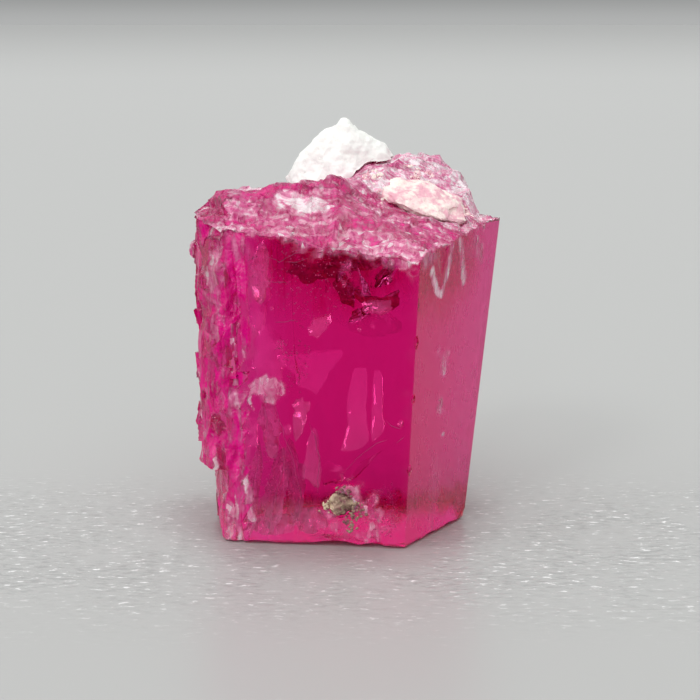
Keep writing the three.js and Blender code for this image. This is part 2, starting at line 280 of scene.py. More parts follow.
@dataclass(frozen=True)
class Waves:
    """Layered noise: its depth, the waves of its first layer a millimetre, its layers and its shift."""

    depth: float
    pitch: float
    layers: int
    shift: Triple = (0, 0, 0)

    def at(self, place: Vector) -> float:
        """Returns the height of the waves at a place."""
        return self.depth * layered(place + Vector(self.shift), self.pitch, self.layers)


def lowered(place: Vector, share: float) -> Vector:
    """Returns a place with its height lowered to a share, so that noise there is drawn out upright."""
    return Vector((place.x, place.y, place.z * share))


def smoothstep(value: float, low: float, high: float) -> float:
    """Returns value taken smoothly from the range low to high into 0 to 1."""
    share = min(1.0, max(0.0, (value - low) / (high - low)))
    return share * share * (3 - 2 * share)


def finish_mesh(form: Form, name: str, crease: float = 0.0) -> bpy.types.Mesh:
    """Makes a mesh in metres from a form in millimetres, which it frees.

    Args:
        form: The form.
        name: The mesh's name.
        crease: The angle from which an edge between smooth faces is sharp, or 0 for none.

    Returns:
        The mesh.
    """
    bmesh.ops.scale(form, vec=(MM,) * 3, verts=form.verts)
    mesh = bpy.data.meshes.new(name)
    form.to_mesh(mesh)
    smooth = [face.smooth for face in form.faces]
    form.free()
    for spare in ("custom_normal", "zone"):
        if spare in mesh.attributes:
            mesh.attributes.remove(mesh.attributes[spare])
    if crease:
        mesh.set_sharp_from_angle(angle=math.radians(crease))
        mesh.polygons.foreach_set("use_smooth", smooth)
    return mesh


# ------------------------------------------------------------------ finishes


@dataclass(frozen=True)
class BerylFinish:
    """Clear magenta beryl, milky and matt where the surface is broken or etched."""

    ior: float = 1.57
    # How strongly a millimetre absorbs each colour. The density lies a little above the strongest.
    absorption: Triple = (0.012, 0.6, 0.15)
    spare: float = 1.05
    glass: Triple = (0.93, 0.22, 0.48)
    polish: float = 0.02
    least_matt: float = 0.35
    frost_opacity: float = 0.88
    # From a milkiness of a third on, the surface has the frost's colour alone.
    tint_gain: float = 3.0
    tones: Tones = (
        (0.0, (0.93, 0.004, 0.3)),
        (0.28, (0.68, 0.08, 0.29)),
        (0.55, (0.82, 0.25, 0.45)),
        (0.8, (0.94, 0.54, 0.68)),
        (1.0, (0.98, 0.88, 0.92)),
    )
    patches: Speckle = Speckle(0.3, 4.0, (1.0, 1.0, 2.5))
    patch_milk: Ramp = Ramp(0.36, 0.64, 0.6, 1.15)
    grains: Speckle = Speckle(0.07, 2.0)
    grain_height: float = 0.03
    facets: Speckle = Speckle(0.36, stretch=(1.5, 0.8, 2.0))
    facet_tilt: float = 0.8
    facet_tone: float = 0.32
    chips: Speckle = Speckle(0.11, stretch=(1.4, 0.8, 2.2))
    chip_tilt: float = 0.45
    chip_tone: float = 0.16
    lines: Speckle = Speckle(0.06, 2.0, (24.0, 1.0, 24.0))
    line_tone: Ramp = Ramp(0.36, 0.64, -0.16, 0.16)
    streaks: Speckle = Speckle(0.13, 3.0, (1.0, 1.0, 5.0))
    streak_tone: Ramp = Ramp(0.42, 0.64, -0.08, 0.26)
    # Painted glints: a few chips turn nearly white where the surface is pale.
    painted_glint: Ramp = Ramp(0.93, 0.95, 0.0, 0.35)
    painted_glint_on: Ramp = Ramp(0.0, 0.4)
    tone_shift: float = -0.25
    relief_on: Ramp = Ramp(0.25, 0.6)
    relief: float = 0.8

    def make(self) -> bpy.types.Material:
        """Returns the material, with frost, pale, matt and skin read from the point attributes so named."""
        material, wires, shader = new_material("clear_beryl")
        place = wires.place()
        frost, pale, matt, skin = (
            wires.add("ShaderNodeAttribute", attribute_name=name).outputs["Fac"] for name in FIELDS
        )
        blotches = wires.ramp(wires.noise(place, self.patches), self.patch_milk)
        milky = wires.times(frost, blotches, clamp=True)
        broad, chance = wires.facets(place, self.facets)
        small, glint = wires.facets(place, self.chips)
        wires.join(wires.rest(wires.times(milky, self.frost_opacity)), shader.inputs["Transmission Weight"])
        matted = wires.times(matt, wires.total(glint, self.least_matt))
        wires.join(wires.maths("MAXIMUM", matted, self.polish), shader.inputs["Roughness"])
        tint = wires.tones(self._lightness(wires, place, pale, chance, glint), self.tones)
        clear = wires.mix(skin, EVEN, self.glass)
        colour = wires.mix(wires.times(milky, self.tint_gain, clamp=True), clear, tint)
        wires.join(colour, shader.inputs["Base Color"])
        tilted = wires.total(wires.times(broad, self.facet_tilt), wires.times(small, self.chip_tilt))
        rough = wires.total(tilted, wires.times(wires.noise(place, self.grains), self.grain_height))
        wires.bump(shader, wires.times(rough, wires.ramp(milky, self.relief_on)), self.relief, 1.0)
        shader.inputs["IOR"].default_value = self.ior
        self._absorb(wires)
        return material

    def _absorb(self, wires: Wiring) -> None:
        """Fills the body with what absorbs light on the way through it."""
        density = max(self.absorption) / MM * self.spare
        passed = [1 - each / MM / density for each in self.absorption]
        depth = wires.add("ShaderNodeVolumeAbsorption", {"Color": (*passed, 1.0), "Density": density})
        wires.join(depth.outputs[0], wires.tree.nodes["Material Output"].inputs["Volume"])

    def _lightness(self, wires: Wiring, place: Any, pale: Any, chance: Any, glint: Any) -> Socket:
        """Works out where in the tones a frosted place is.

        Args:
            wires: The wiring of the material.
            place: The place.
            pale: How pale it is on the whole.
            chance: The random share of its facet.
            glint: The random share of its chip.

        Returns:
            The place in the tones.
        """
        lines = wires.ramp(wires.noise(place, self.lines), self.line_tone)
        streaks = wires.ramp(wires.noise(place, self.streaks), self.streak_tone)
        varied = wires.total(wires.times(chance, self.facet_tone), wires.times(glint, self.chip_tone))
        shifted = wires.total(pale, self.tone_shift, varied, lines, streaks)
        # Painted glints on a few chips.
        painted_glint = wires.times(wires.ramp(glint, self.painted_glint), wires.ramp(pale, self.painted_glint_on))
        return wires.maths("MAXIMUM", wires.total(shifted, painted_glint), 0.0, clamp=True)


@dataclass(frozen=True)
class VeilFinish:
    """The pale flakes of a healed fracture."""

    name: str = "healed_fracture"
    colour: Triple = (0.95, 0.78, 0.85)
    shade: Triple = (0.85, 0.55, 0.68)
    patches: Speckle = Speckle(0.3)
    patch_share: Ramp = Ramp(0.35, 0.65)
    roughness: float = 0.5
    ior: float = 1.3

    def make(self) -> bpy.types.Material:
        """Returns the material."""
        material, wires, shader = new_material(self.name)
        patches = wires.ramp(wires.noise(wires.place(), self.patches), self.patch_share)
        wires.join(wires.mix(patches, self.shade, self.colour), shader.inputs["Base Color"])
        shader.inputs["Roughness"].default_value = self.roughness
        shader.inputs["IOR"].default_value = self.ior
        return material


@dataclass(frozen=True)
class RockFinish:
    """Crumbly host rock, mottled between two colours and stained, with a paler left part if wanted and
    painted shade in the grain's hollows.
    """

    name: str
    light: Triple
    middle: Triple
    stain: Triple
    stain_share: float = 0.35
    mottle: float = 0.5
    stain_soft: float = 0.08
    mottle_share: Ramp = Ramp(0.35, 0.65)
    grains: Speckle = Speckle(0.07)
    grain_hollow_shade: Ramp = Ramp(0.3, 0.55, 0.3, 0.0)
    grain_matt: Ramp = Ramp(0.3, 0.7, 0.95, 0.6)
    grain_depth: float = 0.04
    relief: float = 0.5
    left: Triple | None = None
    left_to: Pair = (0.0, 0.0)
    waver: Ramp = Ramp(0.2, 0.8, -0.15 * MM, 0.15 * MM)

    def make(self) -> bpy.types.Material:
        """Returns the material."""
        material, wires, shader = new_material(self.name)
        place = wires.place()
        mottled = wires.ramp(wires.noise(place, Speckle(self.mottle, 4.0)), self.mottle_share)
        grains = wires.noise(place, self.grains)
        base = wires.mix(mottled, self.middle, self.light)
        edge = 0.72 - 0.3 * self.stain_share
        stains = wires.noise(place, Speckle(self.mottle * 0.6, 5.0))
        stained = wires.ramp(stains, Ramp(edge - self.stain_soft, edge + self.stain_soft))
        colour = wires.mix(stained, base, self.stain)
        if self.left is not None:
            wavy = wires.total(wires.axis(place, "X"), wires.ramp(grains, self.waver))
            share = wires.ramp(wavy, Ramp(*self.left_to, 1.0, 0.0).in_metres())
            colour = wires.mix(share, colour, self.left)
        # Painted shade: the grain's hollows are mixed towards the stain colour.
        shaded = wires.mix(wires.ramp(grains, self.grain_hollow_shade), colour, self.stain)
        wires.join(shaded, shader.inputs["Base Color"])
        wires.join(wires.ramp(grains, self.grain_matt), shader.inputs["Roughness"])
        wires.bump(shader, grains, self.relief, self.grain_depth)
        return material


@dataclass(frozen=True)
class FloorFinish:
    """A pale grey board: its leather grain, with painted glints, shows in a band by the specimen; painted
    shade darkens it with distance and round the specimen's foot.
    """

    light: Triple = (0.474, 0.477, 0.469)
    dark: Triple = (0.3, 0.3, 0.3)
    # Painted glints: white flecks on the crests of the grain.
    glint_colour: Triple = EVEN
    grains: Speckle = Speckle(0.13, 3.0, (2.6, 1.0, 1.0))
    glint_crests: Ramp = Ramp(0.6, 0.7)
    pits: Ramp = Ramp(0.5, 0.36)
    pit_share: float = 0.55
    patches: Speckle = Speckle(2.0, 2.0)
    patch_share: Ramp = Ramp(0.35, 0.6, 0.35, 1.0)
    band: float = -2.6
    reach: Ramp = Ramp(1.5, 7.0, 1.0, 0.0)
    # Painted shade: how much of its light the board keeps, by fade_from over the distance, so that it is
    # darker far from the specimen.
    fade_from: float = 200.0
    fade: tuple[Pair, ...] = (
        (0.0, 0.53), (0.1, 0.587), (0.19, 0.678), (0.28, 0.76),
        (0.4, 0.85), (0.525, 0.91), (0.65, 0.95), (1.0, 0.97),
    )
    roughness: float = 0.36
    grain_depth: float = 0.08
    relief: float = 0.6
    # Painted shadow: a pink-tinted darkening painted on the board round the specimen's foot, mostly before
    # it, in place of the crystal's contact shadow.
    shade: Triple = (0.3, 0.235, 0.245)
    painted_shadow_shift: float = -0.45
    painted_shadow_reach: Ramp = Ramp(2.9, 5.4, 0.72, 0.0)
    painted_shadow_before: Ramp = Ramp(0.0, 2.0, 1.0, 0.0)

    def make(self) -> bpy.types.Material:
        """Returns the material."""
        material, wires, shader = new_material("pale_board")
        place = wires.place()
        ahead = wires.axis(place, "Y")
        grains = wires.noise(place, self.grains)
        offset = wires.maths("ABSOLUTE", wires.maths("SUBTRACT", ahead, self.band * MM))
        near = wires.ramp(offset, self.reach.in_metres())
        shown = wires.times(near, wires.ramp(wires.noise(place, self.patches), self.patch_share))
        pits = wires.times(wires.ramp(grains, self.pits), shown)
        shaded = wires.mix(wires.times(pits, self.pit_share), self._painted_falloff(wires, place), self.dark)
        # Painted glints on the grain's crests.
        glinted = wires.mix(wires.times(wires.ramp(grains, self.glint_crests), shown), shaded, self.glint_colour)
        # Painted shadow round the specimen's foot, centred a little to the left and only before it.
        aside = wires.vector("SUBTRACT", place, (self.painted_shadow_shift * MM, 0, 0))[0]
        apart = wires.vector("LENGTH", aside)["Value"]
        painted_shadow_share = wires.ramp(apart, self.painted_shadow_reach.in_metres())
        painted_shadow_share = wires.times(painted_shadow_share, wires.ramp(ahead, self.painted_shadow_before.in_metres()))
        wires.join(wires.mix(painted_shadow_share, glinted, self.shade), shader.inputs["Base Color"])
        wires.bump(shader, wires.times(grains, shown), self.relief, self.grain_depth)
        shader.inputs["Roughness"].default_value = self.roughness
        return material

    def _painted_falloff(self, wires: Wiring, place: Any) -> Socket:
        """Returns the board's colour, darkened with the distance from the specimen as painted shade."""
        away = wires.maths("MAXIMUM", wires.vector("LENGTH", place)["Value"], self.fade_from * MM)
        nearness = wires.maths("DIVIDE", self.fade_from * MM, away)
        stops = tuple((position, tuple(level * each for each in self.light)) for position, level in self.fade)
        return wires.tones(nearness, stops)


# ------------------------------------------------------------------ the crystal


@dataclass(frozen=True)
class Surface:
    """How one kind of surface looks: milkiness, roughness, longest edge and depth of relief."""

    frost: float
    matt: float
    edge: float
    relief: float


class Zone(Enum):
    """The kinds of surface on the crystal."""

    FRONT = Surface(0.0, 0.0, 0.5, 0.0)
    RIGHT = Surface(0.06, 0.22, 0.5, 0.0)
    REAR = Surface(0.03, 0.08, 0.5, 0.0)
    LEFT_BACK = Surface(0.02, 0.03, 0.35, 0.0)
    FLANK = Surface(0.7, 0.09, 0.08, 0.1)
    TOP = Surface(0.7, 0.34, 0.075, 0.06)
    CHIP = Surface(0.06, 0.1, 0.1, 0.015)
    BASE = Surface(0.05, 0.1, 0.4, 0.0)


class ZoneMap:
    """Keeps the zone of each face of a form, also where faces are split."""

    def __init__(self, form: Form) -> None:
        """Adds the layer that holds the number of each face's zone."""
        self.layer = form.faces.layers.int.new("zone")
        self.kinds = list(Zone)

    def put(self, face: Face, zone: Zone) -> None:
        """Makes a face part of a zone."""
        face[self.layer] = self.kinds.index(zone)

    def of(self, face: Face) -> Zone:
        """Returns the zone that a face is part of."""
        return self.kinds[face[self.layer]]

    def around(self, part: Any) -> list[Zone]:
        """Returns the zones of the faces round a corner or an edge."""
        return [self.of(face) for face in part.link_faces]


@dataclass(frozen=True)
class PrismWall:
    """A wall at the back of the prism, which leans out a little for each millimetre of height."""

    turn: float
    foot: float
    lean: float
    zone: Zone
    reach: float = 0.2
    least_level: float = 0.3
    least_along: float = 0.8

    def height_of(self, place: Vector) -> float:
        """Returns how far a place is outside the wall."""
        return place.dot(direction(self.turn)) - self.foot - self.lean * place.z

    def holds(self, place: Vector, facing: Vector) -> bool:
        """Returns whether a face at a place, facing a way, is part of the wall or of its bevel."""
        level = Vector((facing.x, facing.y, 0))
        if level.length < self.least_level:
            return False
        along = level.normalized().dot(direction(self.turn)) > self.least_along
        return along and abs(self.height_of(place)) < self.reach


@dataclass(frozen=True)
class WallSteps:
    """Upright growth steps on an etched wall, each with a steep face and a gentle one."""

    widths: Pair = (0.14, 0.32)
    steep: float = 1.38
    gentle: float = 0.73
    span: Pair = (-3.0, 3.0)
    seed: int = 4

    def edges(self) -> list[Pair]:
        """Returns where along the wall each step has its crest and its foot."""
        random = np.random.default_rng(self.seed)
        crest = self.span[0]
        found = []
        while crest < self.span[1]:
            width = random.uniform(*self.widths)
            found.append((crest, crest + width * self.gentle / (self.steep + self.gentle)))
            crest += width
        return found

    def depth_at(self, along: float, found: list[Pair]) -> float:
        """Returns how far the stepped wall lies inside its plane at a distance along it."""
        for (crest, _), (after, _) in zip(found, found[1:]):
            if crest <= along <= after:
                return min((along - crest) * self.steep, (after - along) * self.gentle)
        return 0.0


@dataclass(frozen=True)
class InnerCrack:
    """An open crack inside the crystal: a thin lens of air with a rippled surface.

    Its outline is an ellipse of half sizes, or corners across and up as they are seen from in front.
    """

    at: Triple
    turn: float
    lean: float
    half: Pair = (1.0, 1.0)
    outline: Outline = ()
    ripple: float = 0.08
    pitch: float = 0.9
    ripple_layers: int = 2
    frost: float = 0.0
    pale: float = 0.8
    gap: float = 0.012
    ragged: float = 0.35
    ragged_pitch: float = 1.2
    ragged_layers: int = 4
    seed: float = 0.0
    rings: int = 11
    spokes: int = 48
    least_reach: float = 0.02
    margin: float = 1e-6
    parallel: float = 1e-9

    def _rim(self, angle: float) -> float:
        """Returns how far the outline is from the middle at an angle, before its raggedness."""
        run, rise = math.cos(angle), math.sin(angle)
        if not self.outline:
            return 1 / math.hypot(run / self.half[0], rise / self.half[1])
        flat = math.cos(math.radians(self.lean))
        corners = [(x, z / flat) for x, z in self.outline]
        reach = self.least_reach
        for (x1, z1), (x2, z2) in zip(corners, corners[1:] + corners[:1]):
            cross = run * (z2 - z1) - rise * (x2 - x1)
            if abs(cross) < self.parallel:
                continue
            far = (x1 * (z2 - z1) - z1 * (x2 - x1)) / cross
            along = (x1 * rise - z1 * run) / cross
            if far > 0 and -self.margin <= along <= 1 + self.margin:
                reach = max(reach, far)
        return reach

    def add_to(self, form: Form) -> int:
        """Adds the crack's closed surface, facing into the gap, to the crystal's form.

        Args:
            form: The crystal's form.

        Returns:
            How many corners it added.
        """
        before = len(form.verts)
        about_z = Matrix.Rotation(math.radians(self.turn), 3, "Z")
        facing = about_z @ Matrix.Rotation(math.radians(self.lean), 3, "X")
        angles = [math.tau * spoke / self.spokes for spoke in range(self.spokes)]
        reaches = []
        for angle in angles:
            around = Vector((math.cos(angle), math.sin(angle), self.seed))
            torn = 1 + self.ragged * layered(around, self.ragged_pitch, self.ragged_layers)
            reaches.append(self._rim(angle) * torn)

        def point(share: float, spoke: int, side: float) -> Vector:
            """Returns a point of one side of the crack, at a share of the way to its rim."""
            across = share * reaches[spoke] * math.cos(angles[spoke])
            up = share * reaches[spoke] * math.sin(angles[spoke])
            swell = self.ripple * layered(Vector((across, up, self.seed)), self.pitch, self.ripple_layers)
            swell += side * self.gap * math.sqrt(max(0.0, 1 - share * share))
            return Vector(self.at) + facing @ Vector((across, swell, up))

        rim = [form.verts.new(point(1, spoke, 0)) for spoke in range(self.spokes)]
        for side in (-1, 1):
            rows = [[form.verts.new(point(0, 0, side))] * self.spokes]
            for ring in range(1, self.rings):
                share = ring / self.rings
                rows.append([form.verts.new(point(share, spoke, side)) for spoke in range(self.spokes)])
            rows.append(rim)
            for inner, outer in zip(rows, rows[1:]):
                for spoke in range(self.spokes):
                    after = (spoke + 1) % self.spokes
                    corners = [inner[spoke], outer[spoke], outer[after], inner[after]]
                    unique = list(dict.fromkeys(corners))
                    form.faces.new(unique[::side]).smooth = True
        return len(form.verts) - before


@dataclass(frozen=True)
class TopPatch:
    """A patch of the broken top, in plan: how milky and how pale it is."""

    at: Pair
    half: Pair
    frost: float
    pale: float
    turn: float = 0.0
    ragged: float = 0.5
    pitch: float = 1.6
    layers: int = 4
    fade: Pair = (-0.05, 0.25)

    def share_at(self, place: Vector) -> float:
        """Returns how far a place is within the patch, from 0 to 1."""
        angle = math.radians(-self.turn)
        x, y = place.x - self.at[0], place.y - self.at[1]
        across = (x * math.cos(angle) - y * math.sin(angle)) / self.half[0]
        along = (x * math.sin(angle) + y * math.cos(angle)) / self.half[1]
        torn = self.ragged * layered(place + Vector((self.pale, 0, 0)), self.pitch, self.layers)
        return smoothstep(1 - math.hypot(across, along) + torn, *self.fade)


@dataclass(frozen=True)
class SurfaceMark:
    """A frosted scar on a smooth face, along a line of points."""

    points: tuple[Triple, ...]
    width: float
    frost: float
    soft: float = 0.5
    ragged: float = 0.5
    pitch: float = 3.1
    pale: float = 0.55
    stretch: Triple = EVEN
    layers: int = 4

    def distance(self, place: Vector) -> float:
        """Returns how far a place is from the line of points."""
        ends = [Vector(point) for point in self.points]
        if len(ends) == 1:
            return (place - ends[0]).length
        nearest = math.inf
        for one, two in zip(ends, ends[1:]):
            along = two - one
            share = min(1.0, max(0.0, (place - one).dot(along) / along.length_squared))
            nearest = min(nearest, (place - one - along * share).length)
        return nearest

    def frost_at(self, place: Vector) -> float:
        """Returns the scar's milkiness at a place."""
        distance = self.distance(place)
        if distance > 2 * self.width:
            return 0.0
        scaled = Vector(each * share for each, share in zip(place, self.stretch))
        reach = 1 - distance / self.width + self.ragged * layered(scaled, self.pitch, self.layers)
        return self.frost * smoothstep(reach, 0.0, self.soft)


def direction(turn: float, rise: float = 0.0) -> Vector:
    """Returns the unit vector at a turn about Z from +X, with a rise for each unit of run."""
    return Vector((math.cos(math.radians(turn)), math.sin(math.radians(turn)), rise)).normalized()


@dataclass(frozen=True)
class Hackle:
    """Facets that a broken surface has, each tilted at random: how many a millimetre has along each axis."""

    pitch: Triple
    spread: float = 7.31
    lift: float = 0.4
    edge: float = 0.2

    def at(self, place: Vector) -> tuple[float, float, float]:
        """Works out the facets at a place.

        Args:
            place: Where on the surface.

        Returns:
            The height in about -1 to 1, the nearness to a facet's border and the facet's random share.
        """
        scaled = Vector(one * each for one, each in zip(place, self.pitch))
        distances, spots = noise.voronoi(scaled)
        tilt = noise.cell_vector(spots[0] * self.spread) * 2 - Vector(EVEN)
        height = (scaled - spots[0]).dot(tilt) + self.lift * tilt.z
        border = 1 - smoothstep(distances[1] - distances[0], 0.0, self.edge)
        return height, border, 0.5 + 0.5 * tilt.x


# Wide dark cracks under the top, and brighter ones in front of them.
WINE_CRACKS = (
    InnerCrack((0.35, -1.9, 7.05), -8, 46, ripple=0.3, seed=5.0, ragged=0.3, frost=0.6, pale=-0.3, outline=(
        (-1.0, 0.45), (-0.3, 0.6), (0.5, 0.5), (1.05, 0.3), (0.5, 0.12), (-0.2, 0.2), (-0.7, 0.05),
    )),
    InnerCrack((0.85, -1.9, 6.4), -8, 46, ripple=0.3, seed=6.0, ragged=0.3, frost=0.6, pale=-0.3, outline=(
        (-0.75, 0.3), (-0.25, 0.05), (0.3, 0.15), (0.5, 0.42), (0.5, 0.05), (0.3, -0.35), (-0.2, -0.4),
        (-0.65, -0.05),
    )),
    InnerCrack((0.1, -2.0, 6.6), 10, 44, ripple=0.3, seed=8.0, ragged=0.3, frost=0.6, pale=-0.3, outline=(
        (-0.4, 0.55), (0.0, 0.25), (0.2, -0.45), (-0.1, -0.35), (-0.45, 0.1),
    )),
    InnerCrack((0.32, -2.35, 6.95), 30, -20, ripple=0.16, seed=2.0, ragged=0.2, pitch=1.2, outline=(
        (-0.33, 0.05), (-0.27, -0.15), (-0.1, -0.42), (0.25, -0.4), (0.27, -0.16), (-0.1, 0.4),
    )),
    InnerCrack((-0.05, -2.4, 7.1), -12, -20, half=(0.17, 0.33), ripple=0.1, seed=51.0, ragged=0.5),
    InnerCrack((0.62, -2.45, 6.25), -6, -18, half=(0.3, 0.16), ripple=0.08, seed=53.0, ragged=0.5),
    InnerCrack((0.95, -2.35, 7.1), -34, -30, half=(0.35, 0.45), ripple=0.2, seed=7.5, pitch=1.2),
    InnerCrack(
        (-0.75, -2.1, 7.1), 14, 40, half=(0.6, 0.4), ripple=0.24, seed=43.0, ragged=0.6, frost=0.7,
        pale=-0.3,
    ),
    InnerCrack((0.9, -2.4, 6.2), -8, -18, ripple=0.04, seed=31.0, ragged=0.2, frost=0.25, outline=(
        (-0.25, 0.2), (0.2, 0.22), (0.24, 0.02), (0.03, -0.15), (-0.24, -0.1), (-0.4, 0.05),
    )),
    InnerCrack((0.7, -2.2, 5.9), -10, -40, half=(0.6, 0.45), ripple=0.16, seed=33.0),
    InnerCrack((-0.7, -2.5, 5.75), -6, -16, ripple=0.04, seed=35.0, ragged=0.25, outline=(
        (-0.29, -0.05), (-0.17, 0.2), (0.06, 0.3), (0.27, 0.31), (0.28, 0.12), (0.16, -0.08),
        (-0.04, -0.28), (-0.25, -0.24),
    )),
)

# Cracks that face the sky light, in front of the clear middle.
SKY_CRACKS = (
    InnerCrack((0.15, -2.15, 3.5), -8, -18, ripple=0.02, seed=12.0, ragged=0.12, outline=(
        (0.01, 1.05), (-0.18, 0.25), (-0.13, -0.34), (-0.38, -0.97), (0.19, -0.92), (0.47, -0.67),
        (0.36, -0.17), (0.33, 0.27), (0.35, 1.06),
    )),
    InnerCrack((0.8, -2.2, 3.65), -8, -18, ripple=0.02, seed=13.0, ragged=0.1, outline=(
        (-0.16, 0.91), (0.1, 0.92), (0.13, -0.25), (0.22, -0.55), (-0.12, -0.94), (-0.18, -0.71),
    )),
    InnerCrack((-0.85, -1.5, 4.62), -4, -20, ripple=0.03, seed=9.0, ragged=0.3, outline=(
        (-0.85, 0.22), (0.42, 0.38), (0.68, 0.33), (0.5, -0.19), (0.11, -0.73), (-0.35, -0.56),
        (-0.6, -0.22),
    )),
    InnerCrack((-2.2, -1.8, 6.6), -6, -17, ripple=0.07, seed=14.0, ragged=0.3, half=(0.3, 1.15)),
    InnerCrack((-2.0, -2.0, 4.6), -6, -20, ripple=0.1, seed=41.0, ragged=0.4, half=(0.4, 1.1)),
    InnerCrack((-2.5, -2.1, 2.9), -6, -18, ripple=0.04, seed=17.0, ragged=0.2, outline=(
        (-0.25, 0.4), (0.2, 0.4), (0.22, -0.38), (-0.2, -0.38),
    )),
)

# Upright blades at the left, most of them low.
BLADES = (
    InnerCrack(
        (-2.42, -2.25, 1.3), 4, -15, ripple=0.08, seed=19.0, ragged=0.3, frost=0.35, pale=1.1,
        outline=(
            (-0.24, 0.06), (0.04, 1.0), (0.24, 1.4), (0.22, 0.6), (0.0, -0.75), (-0.2, -1.2),
        ),
    ),
    InnerCrack(
        (-1.85, -2.25, 1.35), -20, -14, ripple=0.1, seed=23.0, ragged=0.3, frost=0.4, pale=1.1,
        outline=(
            (-0.37, -0.25), (-0.15, 0.57), (0.12, 1.35), (0.32, 0.6), (0.25, -0.8), (-0.04, -1.25),
        ),
    ),
    InnerCrack((-0.95, -2.3, 2.2), 6, -18, ripple=0.06, seed=26.0, ragged=0.3, frost=0.25, pale=1.1, outline=(
        (-0.27, -0.52), (-0.06, 0.56), (0.2, 0.95), (0.27, 0.05), (0.19, -0.77),
    )),
    InnerCrack(
        (-1.4, -2.05, 1.9), 24, -10, ripple=0.12, seed=27.0, half=(0.25, 1.1), ragged=0.5, frost=0.4,
        pale=1.1,
    ),
    InnerCrack((-1.95, -2.3, 3.1), 6, -14, ripple=0.08, seed=45.0, ragged=0.5, frost=0.35, pale=1.1, outline=(
        (-0.15, -0.9), (-0.3, 0.2), (0.0, 0.9), (0.25, 0.3), (0.15, -0.8),
    )),
    InnerCrack(
        (-1.2, -2.3, 3.5), -10, -14, ripple=0.08, seed=47.0, ragged=0.5, frost=0.25, pale=1.1,
        outline=(
            (-0.1, -0.8), (-0.22, 0.1), (0.05, 0.7), (0.2, 0.2), (0.1, -0.7),
        ),
    ),
    InnerCrack(
        (-2.25, -2.3, 7.0), -6, -14, ripple=0.08, seed=49.0, ragged=0.5, frost=0.25, pale=1.0,
        half=(0.3, 0.8),
    ),
)

# Conchoidal cracks near the foot.
FOOT_CRACKS = (
    InnerCrack((0.35, -2.45, 2.2), 6, -26, ripple=0.12, seed=21.0, ragged=0.2, pitch=1.4, outline=(
        (-0.55, -0.5), (-0.1, -0.2), (0.35, 0.1), (0.6, 0.32), (0.25, 0.02), (-0.2, -0.42),
    )),
    InnerCrack((-0.4, -2.35, 1.9), -10, -22, ripple=0.1, seed=29.0, half=(0.34, 0.3), pitch=1.5),
    InnerCrack(
        (-1.0, -2.2, 0.6), -10, -24, ripple=0.16, seed=37.0, half=(0.5, 0.35), pitch=1.5, frost=0.4,
        pale=1.1,
    ),
    InnerCrack((-1.9, -2.2, 0.45), -4, -20, ripple=0.06, seed=39.0, half=(0.55, 0.3), frost=0.4, pale=1.1),
)

# Small lenses that catch the window light: where, and how large.
LENS_SPOTS = (
    ((-2.05, -2.38, 0.33), 0.07), ((-2.04, -2.38, 0.13), 0.05), ((-1.79, -2.41, 0.24), 0.06),
    ((-1.06, -2.48, 0.53), 0.12), ((-1.59, -2.43, 0.42), 0.06), ((-1.53, -2.43, 3.04), 0.09),
    ((-0.85, -2.5, 0.86), 0.06), ((1.34, -2.74, 3.29), 0.06), ((0.02, -2.62, 7.36), 0.08),
    ((1.05, -2.66, 7.0), 0.05), ((-1.9, -2.5, 6.2), 0.04), ((0.3, -2.6, 5.7), 0.04),
)
LENSES = tuple(
    InnerCrack(
        place, -16, -16, half=(size * 1.3, size * 1.6), gap=size * 0.12, ripple=0.0, ragged=0.2,
        rings=6, spokes=14,
    )
    for place, size in LENS_SPOTS
)

TOP_PATCHES = (
    TopPatch(at=(-2.3, -1.45), half=(1.1, 0.3), frost=0.6, pale=0.3, turn=4),
    TopPatch(at=(-1.6, -2.5), half=(1.7, 0.35), frost=0.7, pale=0.4, turn=-6),
    TopPatch(at=(-3.4, -1.8), half=(0.5, 0.8), frost=0.5, pale=0.22),
    TopPatch(at=(-1.0, -0.9), half=(1.0, 0.5), frost=0.75, pale=0.36),
    # A pale streak, partly frost and partly a painted reflection of a cleavage face.
    TopPatch(at=(-1.1, -1.85), half=(0.8, 0.17), frost=1.0, pale=0.88, turn=-14),
    TopPatch(at=(0.9, -2.1), half=(1.2, 0.35), frost=0.7, pale=0.3, turn=-4),
    TopPatch(at=(1.2, -0.3), half=(1.4, 0.7), frost=1.0, pale=0.72, turn=10),
    TopPatch(at=(2.6, 0.2), half=(1.2, 1.2), frost=1.0, pale=0.74),
    TopPatch(at=(1.9, 1.6), half=(1.7, 0.6), frost=1.0, pale=0.82),
)

